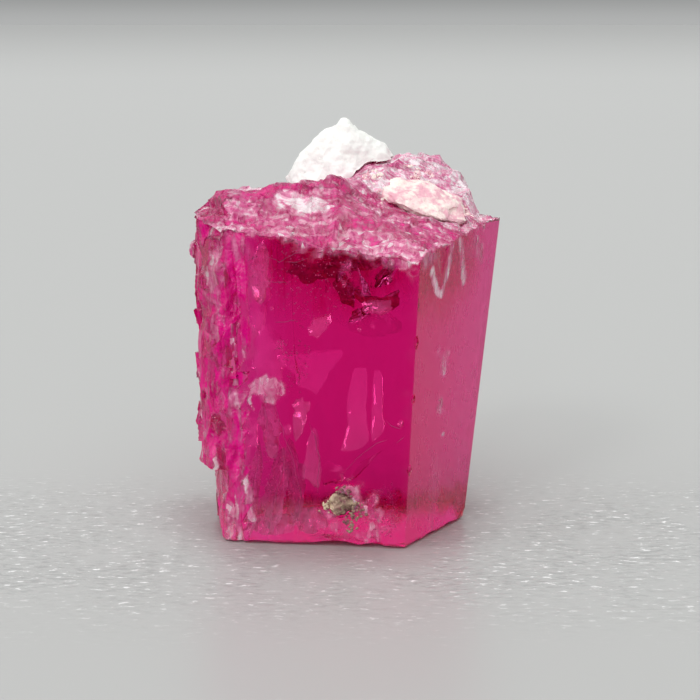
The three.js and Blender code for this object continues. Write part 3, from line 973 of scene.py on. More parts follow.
MARKS = (
    # A pale V, streaks and blotches on the right face.
    SurfaceMark(((2.1, -2.56, 7.15), (2.24, -2.35, 6.6), (2.36, -2.18, 6.5)), 0.16, 1.0, 0.7, 0.4, pale=0.75),
    SurfaceMark(((2.36, -2.18, 6.5), (2.5, -1.99, 7.0), (2.6, -1.84, 7.7)), 0.13, 0.9, 0.7, 0.4, pale=0.65),
    SurfaceMark(((2.85, -1.58, 7.85), (2.95, -1.4, 7.2), (3.0, -1.3, 6.7)), 0.16, 0.6, 0.8, 0.7, 3.0, 0.75),
    SurfaceMark(((3.3, -0.95, 7.7), (3.42, -0.75, 7.2)), 0.25, 0.5, 0.8, 0.7, 2.0),
    SurfaceMark(((2.45, -1.93, 4.9), (2.45, -1.9, 4.5)), 0.28, 0.5, 1.0, 0.7, 3.0, 0.7),
    SurfaceMark(((2.38, -1.95, 3.6), (2.38, -1.95, 3.35)), 0.22, 0.5, 1.0, 0.7, 3.0, 0.7),
    SurfaceMark(((2.48, -1.77, 2.7),), 0.12, 0.7, 0.8, pale=0.9),
    # Paler parts of the right face.
    SurfaceMark(((2.3, -2.1, 1.9), (2.35, -2.0, 0.3)), 0.5, 0.25, soft=1.0, pitch=1.5, pale=0.45),
    SurfaceMark(((2.5, -1.9, 7.6), (3.1, -1.1, 7.4)), 0.7, 0.15, soft=1.0, pitch=1.5, pale=0.4),
    # The top's frost, where it runs a little way down the front and the right face.
    SurfaceMark(((2.7, -1.75, 8.2), (3.4, -0.75, 8.4)), 0.45, 0.75, 0.9, 0.9, 3.0, 0.55),
    SurfaceMark(((1.9, -2.8, 7.75), (2.1, -2.5, 7.6)), 0.4, 0.7, 0.9, 1.0, 3.5, 0.45),
    SurfaceMark(
        ((-2.9, -2.55, 8.2), (-2.2, -2.62, 8.15), (-1.3, -2.72, 8.05)),
        0.22, 0.7, 0.9, 1.1, 4.5, 0.35,
    ),
    SurfaceMark(((-1.3, -2.72, 8.0), (-0.5, -2.81, 7.72), (0.8, -2.94, 7.68)), 0.24, 0.7, 0.9, 1.2, 4.0, 0.4),
    SurfaceMark(((0.7, -2.93, 7.66), (1.7, -3.03, 7.5)), 0.32, 0.75, 0.9, 1.1, 4.0, 0.4),
    # Bruises round the crumb at the foot.
    SurfaceMark(((-0.5, -2.82, 0.8), (0.0, -2.87, 1.6), (0.4, -2.9, 1.0)), 0.26, 0.5, 0.8, 1.1, 5.0, 0.35),
    SurfaceMark(((0.55, -2.92, 1.2), (0.8, -2.94, 0.7), (0.7, -2.93, 0.25)), 0.24, 0.5, 0.8, 1.1, 5.0, 0.35),
    SurfaceMark(((-0.5, -2.82, 0.6), (0.2, -2.88, 0.4)), 0.3, 0.4, 0.8, 1.1, 5.0, 0.35),
    # A scratched flake, with a curved tail.
    SurfaceMark(
        ((-2.3, -2.62, 4.2), (-1.95, -2.66, 4.3), (-1.75, -2.68, 4.2)),
        0.2, 0.65, 0.3, 0.5, 4.0, 0.5,
    ),
    SurfaceMark(((-2.3, -2.62, 4.15), (-1.95, -2.66, 4.0)), 0.22, 0.6, 0.4, 0.5, 4.0, 0.45),
    SurfaceMark(((-2.42, -2.61, 4.1), (-2.52, -2.6, 3.85), (-2.4, -2.62, 3.6)), 0.06, 0.5, pale=0.45),
    # The etched edge by the left flank.
    SurfaceMark(((-2.9, -2.55, 6.3), (-2.88, -2.55, 5.0)), 0.09, 0.6, 0.9, 1.2, 4.0, 0.45, (1, 1, 0.35)),
    SurfaceMark(((-2.88, -2.55, 4.4), (-2.85, -2.55, 2.6)), 0.14, 0.65, 0.9, 1.3, 4.0, 0.5, (1, 1, 0.35)),
    SurfaceMark(((-3.0, -2.5, 2.0), (-2.85, -2.56, 0.1)), 0.18, 0.75, 0.9, 1.4, 4.5, 0.6, (1, 1, 0.3)),
    SurfaceMark(((-2.7, -2.56, 2.0), (-2.55, -2.58, 0.7)), 0.14, 0.7, 0.9, 1.4, 4.5, 0.6, (1, 1, 0.3)),
    SurfaceMark(((-3.2, -2.4, 1.4), (-3.1, -2.4, 0.2)), 0.35, 0.75, 0.9, 1.0, 4.5, 0.5, (1, 1, 0.35)),
    SurfaceMark(((-3.7, -2.1, 2.4), (-3.4, -2.4, 2.1)), 0.25, 0.75, 0.9, 0.9, 4.5, 0.45),
    SurfaceMark(((-3.3, -2.4, 8.2), (-3.4, -2.4, 6.6)), 0.4, 0.75, 0.9, 0.9, 3.0, 0.35),
    # Matt feet of the walls at the back.
    SurfaceMark(
        ((-2.6, 1.0, 0.05), (-1.6, 2.4, 0.05), (1.7, 2.25, 0.05), (2.8, 0.0, 0.05)),
        0.42, 0.6, 0.7, 0.5, 2.0, 0.1,
    ),
    # A clouded band high on the back.
    SurfaceMark(((-1.5, 2.8, 6.8), (0.8, 2.85, 6.8)), 1.9, 0.75, 1.0, 0.25, 0.6, -0.4),
)


@dataclass(frozen=True)
class BrokenTop:
    """The broken top: facets and chips on terraces, frosted in patches."""

    facets: Hackle = Hackle((1.1, 2.4, 1.6))
    chips: Hackle = Hackle((3.2, 5.5, 4.0))
    fine: Waves = Waves(0.2, 6.0, 2)
    facet_depth: float = 0.8
    chip_depth: float = 0.45
    sink: float = 0.1
    terrace: float = 0.3
    terrace_skew: float = 0.2
    terrace_depth: float = 0.8
    waver: Waves = Waves(1.2, 0.7, 3)
    riser: Pair = (0.8, 0.95)
    facet_frost: float = 0.4
    riser_frost: float = 0.2
    pale: float = 0.34
    facet_pale: float = 0.45
    # Painted glints: paler lines along the facets' borders.
    border_glint: float = 0.2
    riser_pale: float = 0.25
    patch_pale: float = 0.3
    patches: tuple[TopPatch, ...] = TOP_PATCHES

    def terrace_at(self, place: Vector) -> float:
        """Returns how far a place is between one terrace's edge and the next, from 0 to 1."""
        return ((place.y + self.terrace_skew * place.x) / self.terrace + self.waver.at(place)) % 1

    def paint(self, place: Vector, frost: float) -> Pair:
        """Works out the milkiness and the paleness, which vary by facet and terrace, have painted glints
        along the facets' borders and follow the patches.

        Args:
            place: Where on the top.
            frost: The milkiness of the zones there.

        Returns:
            The milkiness and the paleness.
        """
        _, border, chance = self.facets.at(place)
        varied = chance - 0.5
        riser = smoothstep(self.terrace_at(place), *self.riser)
        frost += self.facet_frost * varied + self.riser_frost * riser
        pale = self.pale + self.facet_pale * varied + self.border_glint * border + self.riser_pale * riser
        for patch in self.patches:
            share = patch.share_at(place)
            frost += (patch.frost - frost) * share
            pale += (patch.pale + self.patch_pale * varied - pale) * share
        return frost, pale

    def relief(self, place: Vector, outward: Vector, deep: float) -> Vector:
        """Returns how a corner at a place, facing outward, moves where the relief is so deep."""
        broad, small = self.facets.at(place)[0], self.chips.at(place)[0]
        height = self.facet_depth * broad + self.chip_depth * small + self.fine.at(place) - self.sink
        step = Vector((0, 0, -self.terrace_depth * deep * self.terrace_at(place)))
        return step + outward * deep * height


@dataclass(frozen=True)
class EtchedFlank:
    """The etched left flank: upright steps with pale edges, and clear hollows between them."""

    turn: float = -156.0
    step: float = 0.6
    upright: float = 0.5
    waver: Waves = Waves(1.1, 0.9, 2)
    edge: Pair = (0.0, 0.2)
    broken: Waves = Waves(1.0, 1.6, 3, (4, 4, 4))
    broken_span: Pair = (0.0, 0.3)
    hollows: Waves = Waves(1.0, 1.7, 3, (9, 2, 5))
    hollow_span: Pair = (0.05, 0.4)
    crest_frost: float = 0.15
    hollow_frost: float = 0.5
    pale: float = -0.04
    crest_pale: float = 0.42
    hollow_pale: float = 0.15
    lumps: Waves = Waves(0.7, 1.5, 2)
    lump_upright: float = 0.7
    sink: float = 0.15
    turned: Pair = (0.3, 0.8)

    def _column(self, place: Vector) -> float:
        """Returns how far a place is between one upright step and the next, from 0 to 1."""
        back = direction(self.turn).cross(Vector((0, 0, -1)))
        return (place.dot(back) / self.step + self.waver.at(lowered(place, self.upright))) % 1

    def paint(self, place: Vector, frost: float) -> Pair:
        """Works out the milkiness and the paleness, by the nearness to a step's edge and to a hollow.

        Args:
            place: Where on the flank.
            frost: The milkiness of the zones there.

        Returns:
            The milkiness and the paleness.
        """
        column = self._column(place)
        crest = 1 - smoothstep(min(column, 1 - column), *self.edge)
        crest *= smoothstep(self.broken.at(place), *self.broken_span)
        hollow = smoothstep(self.hollows.at(lowered(place, self.upright)), *self.hollow_span)
        frost += self.crest_frost * crest - self.hollow_frost * hollow * (1 - crest)
        return frost, self.pale + self.crest_pale * crest + self.hollow_pale * hollow

    def relief(self, place: Vector, outward: Vector, deep: float) -> Vector:
        """Returns how a corner at a place, facing outward, moves where the relief is so deep."""
        flank = direction(self.turn)
        turned = smoothstep(max(0.0, outward.dot(flank)), *self.turned)
        lumps = self.lumps.at(lowered(place, self.lump_upright)) - self.sink
        return flank * deep * (lumps - self._column(place) * turned)


@dataclass
class CrystalBody:
    """The clear crystal, refined from its CAD solid."""

    node: str = "red_beryl_crystal"
    piece: str = "beryl_body"
    front: Vector = field(default_factory=lambda: direction(-96.0))
    right: Vector = field(default_factory=lambda: direction(-36.0, -0.0375))
    walls: tuple[PrismWall, ...] = (
        PrismWall(24.0, 2.6, 0.131, Zone.REAR),
        PrismWall(84.0, 2.42, 0.056, Zone.REAR),
        PrismWall(144.0, 2.61, 0.0375, Zone.LEFT_BACK),
    )
    right_wall: PrismWall = PrismWall(-36.0, 2.94, 0.0375, Zone.RIGHT)
    steps: WallSteps = WallSteps()
    # The small bevel at the foot of the back, which is brought down to the base: how far back it
    # starts, and its height.
    bevel: Pair = (0.2, 0.09)
    level: float = 1e-5
    flat: float = 0.9995
    merge: float = 2e-4
    crease: float = 33.0
    # Where the zones start and end.
    base_to: float = 0.02
    base_tilt: float = -0.95
    top_from: float = 7.2
    top_tilt: float = 0.2
    peak_from: float = 8.7
    flank_to: float = -2.62
    flank_before: float = 0.3
    # Near a mark, edges are split to a share of its width, but not below mark_edge. Near the top's
    # rim, rim_edge is the longest.
    mark_share: float = 0.4
    mark_edge: float = 0.05
    rim_edge: float = 0.1
    top: BrokenTop = BrokenTop()
    etched: EtchedFlank = EtchedFlank()
    chip_waves: Waves = Waves(1.0, 0.8, 2)
    plain_pale: float = 0.3
    scar_matt: float = 0.3
    cracks: tuple[InnerCrack, ...] = WINE_CRACKS + SKY_CRACKS + BLADES + FOOT_CRACKS + LENSES
    marks: tuple[SurfaceMark, ...] = MARKS
    finish: BerylFinish = BerylFinish()

    def zone_of(self, face: Face) -> Zone:
        """Returns the kind of surface that a face of the CAD solid is part of."""
        place, facing = face.calc_center_median(), face.normal
        if facing.dot(self.front) > self.flat and place.x > self.flank_to:
            return Zone.FRONT
        if facing.dot(self.right) > self.flat:
            return Zone.RIGHT
        if facing.z < self.base_tilt and place.z < self.base_to:
            return Zone.BASE
        if place.z > self.top_from and (facing.z > self.top_tilt or place.z > self.peak_from):
            return Zone.TOP
        if place.x < self.flank_to and place.y < self.flank_before:
            return Zone.FLANK
        for wall in self.walls:
            if wall.holds(place, facing):
                return wall.zone
        return Zone.CHIP

    def build(self) -> bpy.types.Object:
        """Returns the crystal as a finished piece."""
        form = merged_copy(self.node)
        zones = ZoneMap(form)
        for face in form.faces:
            zones.put(face, self.zone_of(face))
        self._flatten(form, zones)
        self._cut_steps(form, zones)
        self._refine(form, zones)
        fields = self._paint(form, zones)
        self._roughen(form, zones)
        for face in form.faces:
            face.smooth = zones.of(face).value.relief > 0
        for crack in self.cracks:
            added = crack.add_to(form)
            for name, value in zip(FIELDS, (crack.frost, crack.pale, 0.0, 0.0)):
                fields[name] += [value] * added
        log.info("crystal: %d triangles", sum(len(face.verts) - 2 for face in form.faces))
        body = object_of(self.piece, finish_mesh(form, self.piece, self.crease))
        for name, values in fields.items():
            body.data.attributes.new(name, "FLOAT", "POINT").data.foreach_set("value", values)
        body.data.materials.append(self.finish.make())
        return body

    def _wall_of(self, face: Face, zone: Zone) -> PrismWall | None:
        """Returns the prism wall that a face lies on, if it lies on one."""
        if zone is Zone.RIGHT:
            return self.right_wall
        if zone not in (Zone.REAR, Zone.LEFT_BACK):
            return None
        place, facing = face.calc_center_median(), face.normal
        return next((wall for wall in self.walls if wall.holds(place, facing)), None)

    def _flatten(self, form: Form, zones: ZoneMap, rounds: int = 12) -> None:
        """Brings the corners of the walls at the back onto their planes, so that the crystal is clear there.

        Args:
            form: The crystal.
            zones: Its zones.
            rounds: How often a corner of two walls is moved onto one and then the other.
        """
        moved: dict[Vert, set[PrismWall]] = {}
        for face in form.faces:
            wall = self._wall_of(face, zones.of(face))
            if wall is not None:
                for vert in face.verts:
                    moved.setdefault(vert, set()).add(wall)
        for vert, walls in moved.items():
            if walls == {self.right_wall}:
                continue
            for _ in range(rounds):
                for wall in sorted(walls, key=lambda each: each.turn):
                    vert.co -= direction(wall.turn) * wall.height_of(vert.co)
        for vert in form.verts:
            if vert.co.z < self.bevel[1] and vert.co.y > self.bevel[0]:
                vert.co.z = 0.0
        for face in form.faces:
            if max(vert.co.z for vert in face.verts) < self.level:
                zones.put(face, Zone.BASE)

    def _cut_steps(self, form: Form, zones: ZoneMap) -> None:
        """Cuts upright steps into the etched wall at the left of the back."""
        wall = self.walls[-1]
        along, outward = direction(wall.turn - 90), direction(wall.turn)
        found = self.steps.edges()
        for place in (each for pair in found for each in pair):
            faces = [face for face in form.faces if zones.of(face) is wall.zone]
            edges = list(dict.fromkeys(edge for face in faces for edge in face.edges))
            verts = list(dict.fromkeys(vert for face in faces for vert in face.verts))
            if min(v.co.dot(along) for v in verts) < place < max(v.co.dot(along) for v in verts):
                geometry = verts + edges + faces
                bmesh.ops.bisect_plane(form, geom=geometry, plane_co=along * place, plane_no=along)
        bmesh.ops.dissolve_degenerate(form, dist=self.merge, edges=form.edges)
        to_triangles(form)
        # A corner that the rear wall shares slides along that wall's plane.
        rear = direction(self.walls[1].turn, -self.walls[1].lean)
        slide = outward - rear * outward.dot(rear)
        slide /= slide.dot(outward)
        for vert in form.verts:
            around = set(zones.around(vert))
            depth = self.steps.depth_at(vert.co.dot(along), found) if wall.zone in around else 0.0
            if Zone.REAR not in around:
                vert.co -= outward * depth
            elif len(around) == 2:
                vert.co -= slide * depth

    def _is_long(self, edge: bmesh.types.BMEdge, around: list[Zone], rim: set[Vert]) -> bool:
        """Returns whether an edge is longer than the zones round it and the marks near it want."""
        wanted = min(zone.value.edge for zone in around)
        if edge.verts[0] in rim or edge.verts[1] in rim:
            wanted = min(wanted, self.rim_edge)
        length = edge.calc_length()
        if length > wanted:
            return True
        if length <= self.mark_edge or Zone.TOP in around:
            return False
        middle = (edge.verts[0].co + edge.verts[1].co) / 2
        return any(
            length > self.mark_share * mark.width and mark.distance(middle) < mark.width + length / 2
            for mark in self.marks
        )

    def _refine(self, form: Form, zones: ZoneMap, rounds: int = 8) -> None:
        """Splits each zone's edges to the length that the zone wants, and shorter near marks."""
        for _ in range(rounds):
            rim = {vert for face in form.faces if zones.of(face) is Zone.TOP for vert in face.verts}
            long = [edge for edge in form.edges if self._is_long(edge, zones.around(edge), rim)]
            if not long:
                return
            split(form, long)

    def _paint(self, form: Form, zones: ZoneMap) -> dict[str, list[float]]:
        """Returns each corner's frost, paleness, roughness and share of the outer skin, by their names."""
        fields: dict[str, list[float]] = {name: [] for name in FIELDS}
        for vert in form.verts:
            around = zones.around(vert)
            frost = sum(zone.value.frost for zone in around) / len(around)
            matt = sum(zone.value.matt for zone in around) / len(around)
            pale = self.plain_pale
            if Zone.TOP in around:
                frost, pale = self.top.paint(vert.co, frost)
            elif Zone.FLANK in around:
                frost, pale = self.etched.paint(vert.co, frost)
            mark = max(self.marks, key=lambda each: each.frost_at(vert.co))
            scar = mark.frost_at(vert.co)
            if scar > frost and Zone.TOP not in around:
                frost, matt, pale = scar, max(matt, self.scar_matt), mark.pale
            for name, value in zip(FIELDS, (frost, pale, matt, 1.0)):
                fields[name].append(value)
        return fields

    def _roughen(self, form: Form, zones: ZoneMap) -> None:
        """Moves the corners of the rough zones, and keeps the flat faces flat."""
        form.normal_update()
        moves = []
        for vert in form.verts:
            around = zones.around(vert)
            held: list[Vector] = []
            for face, zone in zip(vert.link_faces, around):
                if zone.value.relief == 0.0 and all(face.normal.dot(other) < self.flat for other in held):
                    held.append(face.normal)
            deep = max(zone.value.relief for zone in around)
            if deep == 0.0 or len(held) > 1:
                moves.append(Vector())
                continue
            move = self._relief(vert, deep, around)
            if held:
                move -= held[0] * move.dot(held[0])
            moves.append(move)
        for vert, move in zip(form.verts, moves):
            vert.co += move

    def _relief(self, vert: Vert, deep: float, around: list[Zone]) -> Vector:
        """Returns how a corner of a rough zone moves.

        Args:
            vert: The corner.
            deep: The depth of the relief there.
            around: The zones of the faces round it.

        Returns:
            The move.
        """
        if Zone.TOP in around:
            return self.top.relief(vert.co, vert.normal, deep)
        if Zone.FLANK in around:
            return self.etched.relief(vert.co, vert.normal, deep)
        return vert.normal * deep * self.chip_waves.at(vert.co)


# ------------------------------------------------------------------ healed fractures


@dataclass(frozen=True)
class Veil:
    """A healed fracture: a curved sheet strewn with flakes, faded out towards its edge."""

    at: Triple
    turn: float
    lean: float
    half: Pair
    cover: float = 160.0
    flake: float = 0.03
    curl: float = 0.12
    patch: float = 0.5
    sharp: float = 0.25
    seed: float = 0.0
    steps: int = 24
    ragged: float = 0.35

    def _wave(self, place: Vector, axis: int, pitch: float, layers: int = 3) -> float:
        """Returns layered noise, shifted along an axis by the seed."""
        shift = Vector()
        shift[axis] = self.seed
        return layered(place + shift, pitch, layers)

    def sheet(self, form: Form, cover_layer: Any) -> None:
        """Adds the sheet to a form, with how thickly flakes lie on it at each corner."""
        about_z = Matrix.Rotation(math.radians(self.turn), 3, "Z")
        facing = about_z @ Matrix.Rotation(math.radians(self.lean), 3, "X")
        rows = []
        for row in range(self.steps + 1):
            line = []
            for column in range(self.steps + 1):
                u, v = 2 * column / self.steps - 1, 2 * row / self.steps - 1
                flat = Vector((u * self.half[0], 0, v * self.half[1]))
                flat.y = self.curl * self._wave(flat, 0, 0.7)
                vert = form.verts.new(Vector(self.at) + facing @ flat)
                reach = 1 - math.hypot(u, v) + self.ragged * self._wave(flat, 1, 1.1)
                patchy = 0.5 + self.patch * self._wave(flat, 2, 2.2, 4)
                vert[cover_layer] = self.cover * smoothstep(reach, 0, self.sharp) * max(0.0, patchy)
                line.append(vert)
            rows.append(line)
        for low, high in zip(rows, rows[1:]):
            for column in range(self.steps):
                form.faces.new((low[column], low[column + 1], high[column + 1], high[column]))


class Strewn(Enum):
    """The small shapes that a surface is strewn with: the node that makes one, and how far it may lean."""

    FLAKE = ("GeometryNodeMeshCone", 0.35)
    GRAIN = ("GeometryNodeMeshIcoSphere", math.pi)


class Scatter:
    """A Geometry Nodes tree that strews small shapes over a surface.

    Each shape grows to between least and most of its size along each axis.
    """

    least = 0.5
    most = 1.5

    def __init__(self, name: str, material: bpy.types.Material, shape: Strewn) -> None:
        """Builds the tree, whose inputs are the shape's size, its flatness and the seed."""
        self.material = material
        self.tree = bpy.data.node_groups.new(name, "GeometryNodeTree")
        self._socket("Geometry", "NodeSocketGeometry")
        self.size = self._socket("Size", "NodeSocketFloat")
        self.flat = self._socket("Flatness", "NodeSocketFloat")
        self.seed = self._socket("Seed", "NodeSocketInt")
        self._socket("Geometry", "NodeSocketGeometry", "OUTPUT")
        wires = Wiring(self.tree)
        given = wires.add("NodeGroupInput").outputs
        cover = wires.add("GeometryNodeInputNamedAttribute", {"Name": "cover"}, data_type="FLOAT")
        strewn = wires.add(
            "GeometryNodeDistributePointsOnFaces",
            {"Mesh": given["Geometry"], "Density": cover.outputs["Attribute"], "Seed": given["Seed"]},
        ).outputs
        kind, lean = shape.value
        sizes = {"Radius": given["Size"], "Subdivisions": 1}
        if shape is Strewn.FLAKE:
            sizes = {"Vertices": 3, "Radius Top": 0.0, "Radius Bottom": given["Size"]}
            sizes["Depth"] = given["Flatness"]
        one = wires.add(kind, sizes).outputs["Mesh"]
        limits = {"Min": (-lean, -lean, -math.pi), "Max": (lean, lean, math.pi), "Seed": given["Seed"]}
        spin = wires.add("FunctionNodeRandomValue", limits, data_type="FLOAT_VECTOR").outputs[0]
        spun = wires.add("FunctionNodeEulerToRotation", {0: spin}).outputs[0]
        turns = {"Rotation": strewn["Rotation"], "Rotate By": spun}
        turned = wires.add("FunctionNodeRotateRotation", turns, rotation_space="LOCAL").outputs[0]
        limits = {"Min": (self.least,) * 3, "Max": (self.most,) * 3, "Seed": given["Seed"]}
        grown = wires.add("FunctionNodeRandomValue", limits, data_type="FLOAT_VECTOR").outputs[0]
        placed = wires.add(
            "GeometryNodeInstanceOnPoints",
            {"Points": strewn["Points"], "Instance": one, "Rotation": turned, "Scale": grown},
        )
        real = wires.add("GeometryNodeRealizeInstances", {0: placed.outputs[0]})
        dressed = wires.add("GeometryNodeSetMaterial", {"Geometry": real.outputs[0], "Material": material})
        wires.add("NodeGroupOutput", {0: dressed.outputs[0]})

    def _socket(self, name: str, kind: str, way: str = "INPUT") -> str:
        """Adds a socket to the tree's interface and returns its identifier."""
        return self.tree.interface.new_socket(name, in_out=way, socket_type=kind).identifier

    def strew(
        self, name: str, sheet: bpy.types.Mesh, size: float, flatness: float, seed: int
    ) -> bpy.types.Object:
        """Returns a plain mesh object of the shapes.

        Args:
            name: The piece's name.
            sheet: What they lie on, with a point attribute cover in shapes a square metre.
            size: The radius in millimetres.
            flatness: A flake's thickness in millimetres.
            seed: The seed of their places and turns.

        Returns:
            The object.
        """
        holder = object_of(name + "_sheet", sheet)
        modifier = holder.modifiers.new("strewn", "NODES")
        modifier.node_group = self.tree
        modifier[self.size] = size * MM
        modifier[self.flat] = flatness * MM
        modifier[self.seed] = seed
        graph = bpy.context.evaluated_depsgraph_get()
        mesh = bpy.data.meshes.new_from_object(holder.evaluated_get(graph))
        bpy.data.objects.remove(holder)
        mesh.name = name
        made = object_of(name, mesh)
        if not mesh.materials:
            mesh.materials.append(self.material)
        return made


# Thin threads just under the front face, as points along each.
THREADS = (
    ((-1.64, -2.62, 7.44), (-1.31, -2.66, 7.61), (-1.10, -2.68, 7.60)),
    ((-1.57, -2.63, 7.39), (-1.31, -2.66, 7.39), (-0.95, -2.70, 7.52)),
    ((-1.97, -2.59, 7.50), (-1.69, -2.62, 7.40), (-1.55, -2.63, 7.46)),
    ((-2.57, -2.53, 7.37), (-2.38, -2.55, 7.47), (-2.24, -2.56, 7.49)),
    ((-2.05, -2.58, 6.89), (-1.86, -2.60, 6.87), (-1.67, -2.62, 6.88), (-1.46, -2.64, 6.85)),
    ((-1.80, -2.61, 5.91), (-1.56, -2.63, 5.87), (-1.32, -2.66, 5.93)),
    ((-2.34, -2.55, 4.33), (-2.54, -2.53, 3.82), (-2.50, -2.53, 3.56), (-2.32, -2.55, 3.44)),
    ((-2.15, -2.57, 3.68), (-2.09, -2.58, 3.37), (-2.02, -2.58, 3.14)),
    (
        (1.02, -2.90, 2.91), (0.71, -2.87, 2.78), (0.48, -2.85, 2.60),
        (0.26, -2.82, 2.41), (-0.11, -2.78, 1.98),
    ),
    ((0.96, -2.90, 3.44), (1.19, -2.92, 3.21), (1.33, -2.93, 3.18)),
    ((1.22, -2.92, 2.80), (1.44, -2.95, 3.01)),
    ((-2.62, -2.52, 0.30), (-2.50, -2.53, 1.20), (-2.28, -2.55, 2.30)),
    ((-2.10, -2.57, 0.30), (-1.86, -2.60, 1.30), (-1.62, -2.62, 2.20), (-1.72, -2.62, 2.80)),
    ((-1.30, -2.66, 0.25), (-1.22, -2.66, 1.40), (-1.42, -2.64, 2.30), (-1.95, -2.59, 3.90)),
    ((-0.80, -2.72, 1.40), (-0.72, -2.72, 2.40), (-0.98, -2.68, 3.30)),
)


@dataclass
class HealedFractures:
    """The veils inside the crystal."""

    veils: tuple[Veil, ...] = (
        Veil((-1.1, -2.5, 6.9), -6, 2, (1.4, 1.4), cover=120, seed=3.0, sharp=0.5),
        Veil((-1.9, -2.35, 1.4), -4, 6, (0.85, 1.35), cover=160, seed=8.0, sharp=0.3, patch=1.2),
        Veil((-1.5, -2.4, 4.9), -6, 4, (0.6, 0.9), cover=200, seed=15.0, sharp=0.4, patch=1.2),
        Veil((0.9, -2.3, 0.9), -6, -20, (0.6, 0.8), cover=300, seed=27.0, sharp=0.3, patch=0.9),
    )
    threads: tuple[tuple[Triple, ...], ...] = THREADS
    thread: float = 0.009
    flake: float = 0.024
    flatness: float = 0.008
    seed: int = 11
    swell: Waves = Waves(0.6, 5.0, 2)
    waver: Waves = Waves(0.05, 3.0, 3)
    least_width: float = 0.05

    def build(self) -> bpy.types.Object:
        """Returns all the veils as one piece."""
        form = bmesh.new()
        layer = form.verts.layers.float.new("cover")
        for veil in self.veils:
            veil.sheet(form, layer)
        for vert in form.verts:
            vert[layer] /= MM * MM
        scatter = Scatter("flakes_on_a_sheet", VeilFinish().make(), Strewn.FLAKE)
        sheets = finish_mesh(form, "veil_sheets")
        made = scatter.strew("healed_fractures", sheets, self.flake, self.flatness, self.seed)
        whole = bmesh.new()
        whole.from_mesh(made.data)
        for line in self.threads:
            self._spin(whole, [Vector(point) for point in line])
        whole.to_mesh(made.data)
        whole.free()
        log.info("veils: %d triangles", sum(len(face.vertices) - 2 for face in made.data.polygons))
        return made

    def _spin(self, form: Form, ends: list[Vector], pieces: int = 8) -> None:
        """Adds a thin wavering thread through some points to a form in metres."""
        path = []
        for one, two in zip(ends, ends[1:]):
            path += [one.lerp(two, step / pieces) for step in range(pieces)]
        path.append(ends[-1])
        rings = []
        for index, place in enumerate(path):
            share = index / (len(path) - 1)
            wide = self.thread * math.sqrt(max(self.least_width, 4 * share * (1 - share)))
            wide *= 1 + self.swell.at(place)
            waver = self.waver.at(place)
            middle = place + Vector((waver, 0, waver))
            upright = abs((path[-1] - path[0]).z) > abs((path[-1] - path[0]).x)
            aside = Vector((wide, 0, 0)) if upright else Vector((0, 0, wide))
            back = Vector((0, wide, 0))
            rings.append([form.verts.new((middle + corner) * MM) for corner in (aside, -back, -aside, back)])
        for low, high in zip(rings, rings[1:]):
            for side in range(4):
                after = (side + 1) % 4
                form.faces.new((low[side], low[after], high[after], high[side]))
        form.faces.new(rings[0][::-1])
        form.faces.new(rings[-1])


# ------------------------------------------------------------------ host rock


@dataclass
class MatrixLump:
    """A crumb of host rock, refined from its CAD solid."""

    node: str
    piece: str
    slot: str
    finish: RockFinish
    edge: float = 0.07
    relief: float = 0.07
    pitch: float = 2.2
    swell: float = 0.7
    swell_layers: int = 5
    pit: float = 0.5
    pit_pitch: float = 2.4
    pit_shift: float = 0.4
    sink: float = 0.2
    crease: float = 35.0

    def build(self) -> bpy.types.Object:
        """Returns the lump as a finished piece."""
        form = merged_copy(self.node)
        low, high = (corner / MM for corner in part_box(self.node))
        refine(form, self.edge)
        form.normal_update()
        for vert in form.verts:
            place = vert.co.copy()
            swell = self.swell * layered(place, self.pitch, self.swell_layers)
            pits = self.pit * (noise.voronoi(place * self.pitch * self.pit_pitch)[0][0] - self.pit_shift)
            moved = place + vert.normal * self.relief * (swell + pits - self.sink)
            for axis in range(3):
                moved[axis] = min(max(moved[axis], low[axis]), high[axis])
            vert.co = moved
        for face in form.faces:
            face.smooth = True
        log.info("%s: %d triangles", self.piece, len(form.faces))
        made = object_of(self.piece, finish_mesh(form, self.piece, self.crease))
        made.data.materials.append(self.finish.make())
        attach(made, "root")
        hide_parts(self.node)
        return made


@dataclass
class LooseGrains:
    """Small grains of host rock stuck on the crystal round some places."""

    piece: str
    slot: str
    finish: RockFinish
    spots: tuple[tuple[Triple, float], ...]
    size: float = 0.045
    cover: float = 110.0
    seed: int = 5
    ragged: Waves = Waves(0.4, 3.0, 3)
    fade: Pair = (0.0, 0.5)

    def build(self, body: bpy.types.Object) -> bpy.types.Object:
        """Returns the grains as a finished piece.

        Args:
            body: The crystal that they are stuck on.

        Returns:
            The piece.
        """
        form = bmesh.new()
        form.from_mesh(body.data)
        bmesh.ops.scale(form, vec=(1 / MM,) * 3, verts=form.verts)
        layer = form.verts.layers.float.new("cover")
        for vert in form.verts:
            vert[layer] = self._cover_at(vert.co) / (MM * MM)
        bare = [face for face in form.faces if not any(vert[layer] for vert in face.verts)]
        bmesh.ops.delete(form, geom=bare, context="FACES")
        scatter = Scatter(self.piece, self.finish.make(), Strewn.GRAIN)
        made = scatter.strew(self.piece, finish_mesh(form, self.piece), self.size, self.size, self.seed)
        log.info("%s: %d triangles", self.piece, len(made.data.polygons))
        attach(made, "root")
        return made

    def _cover_at(self, place: Vector) -> float:
        """Returns how many grains a square millimetre has at a place."""
        share = 0.0
        for spot, reach in self.spots:
            near = 1 - (place - Vector(spot)).length / reach
            if near > 0:
                share = max(share, smoothstep(near + self.ragged.at(place), *self.fade))
        return self.cover * share


# ------------------------------------------------------------------ studio


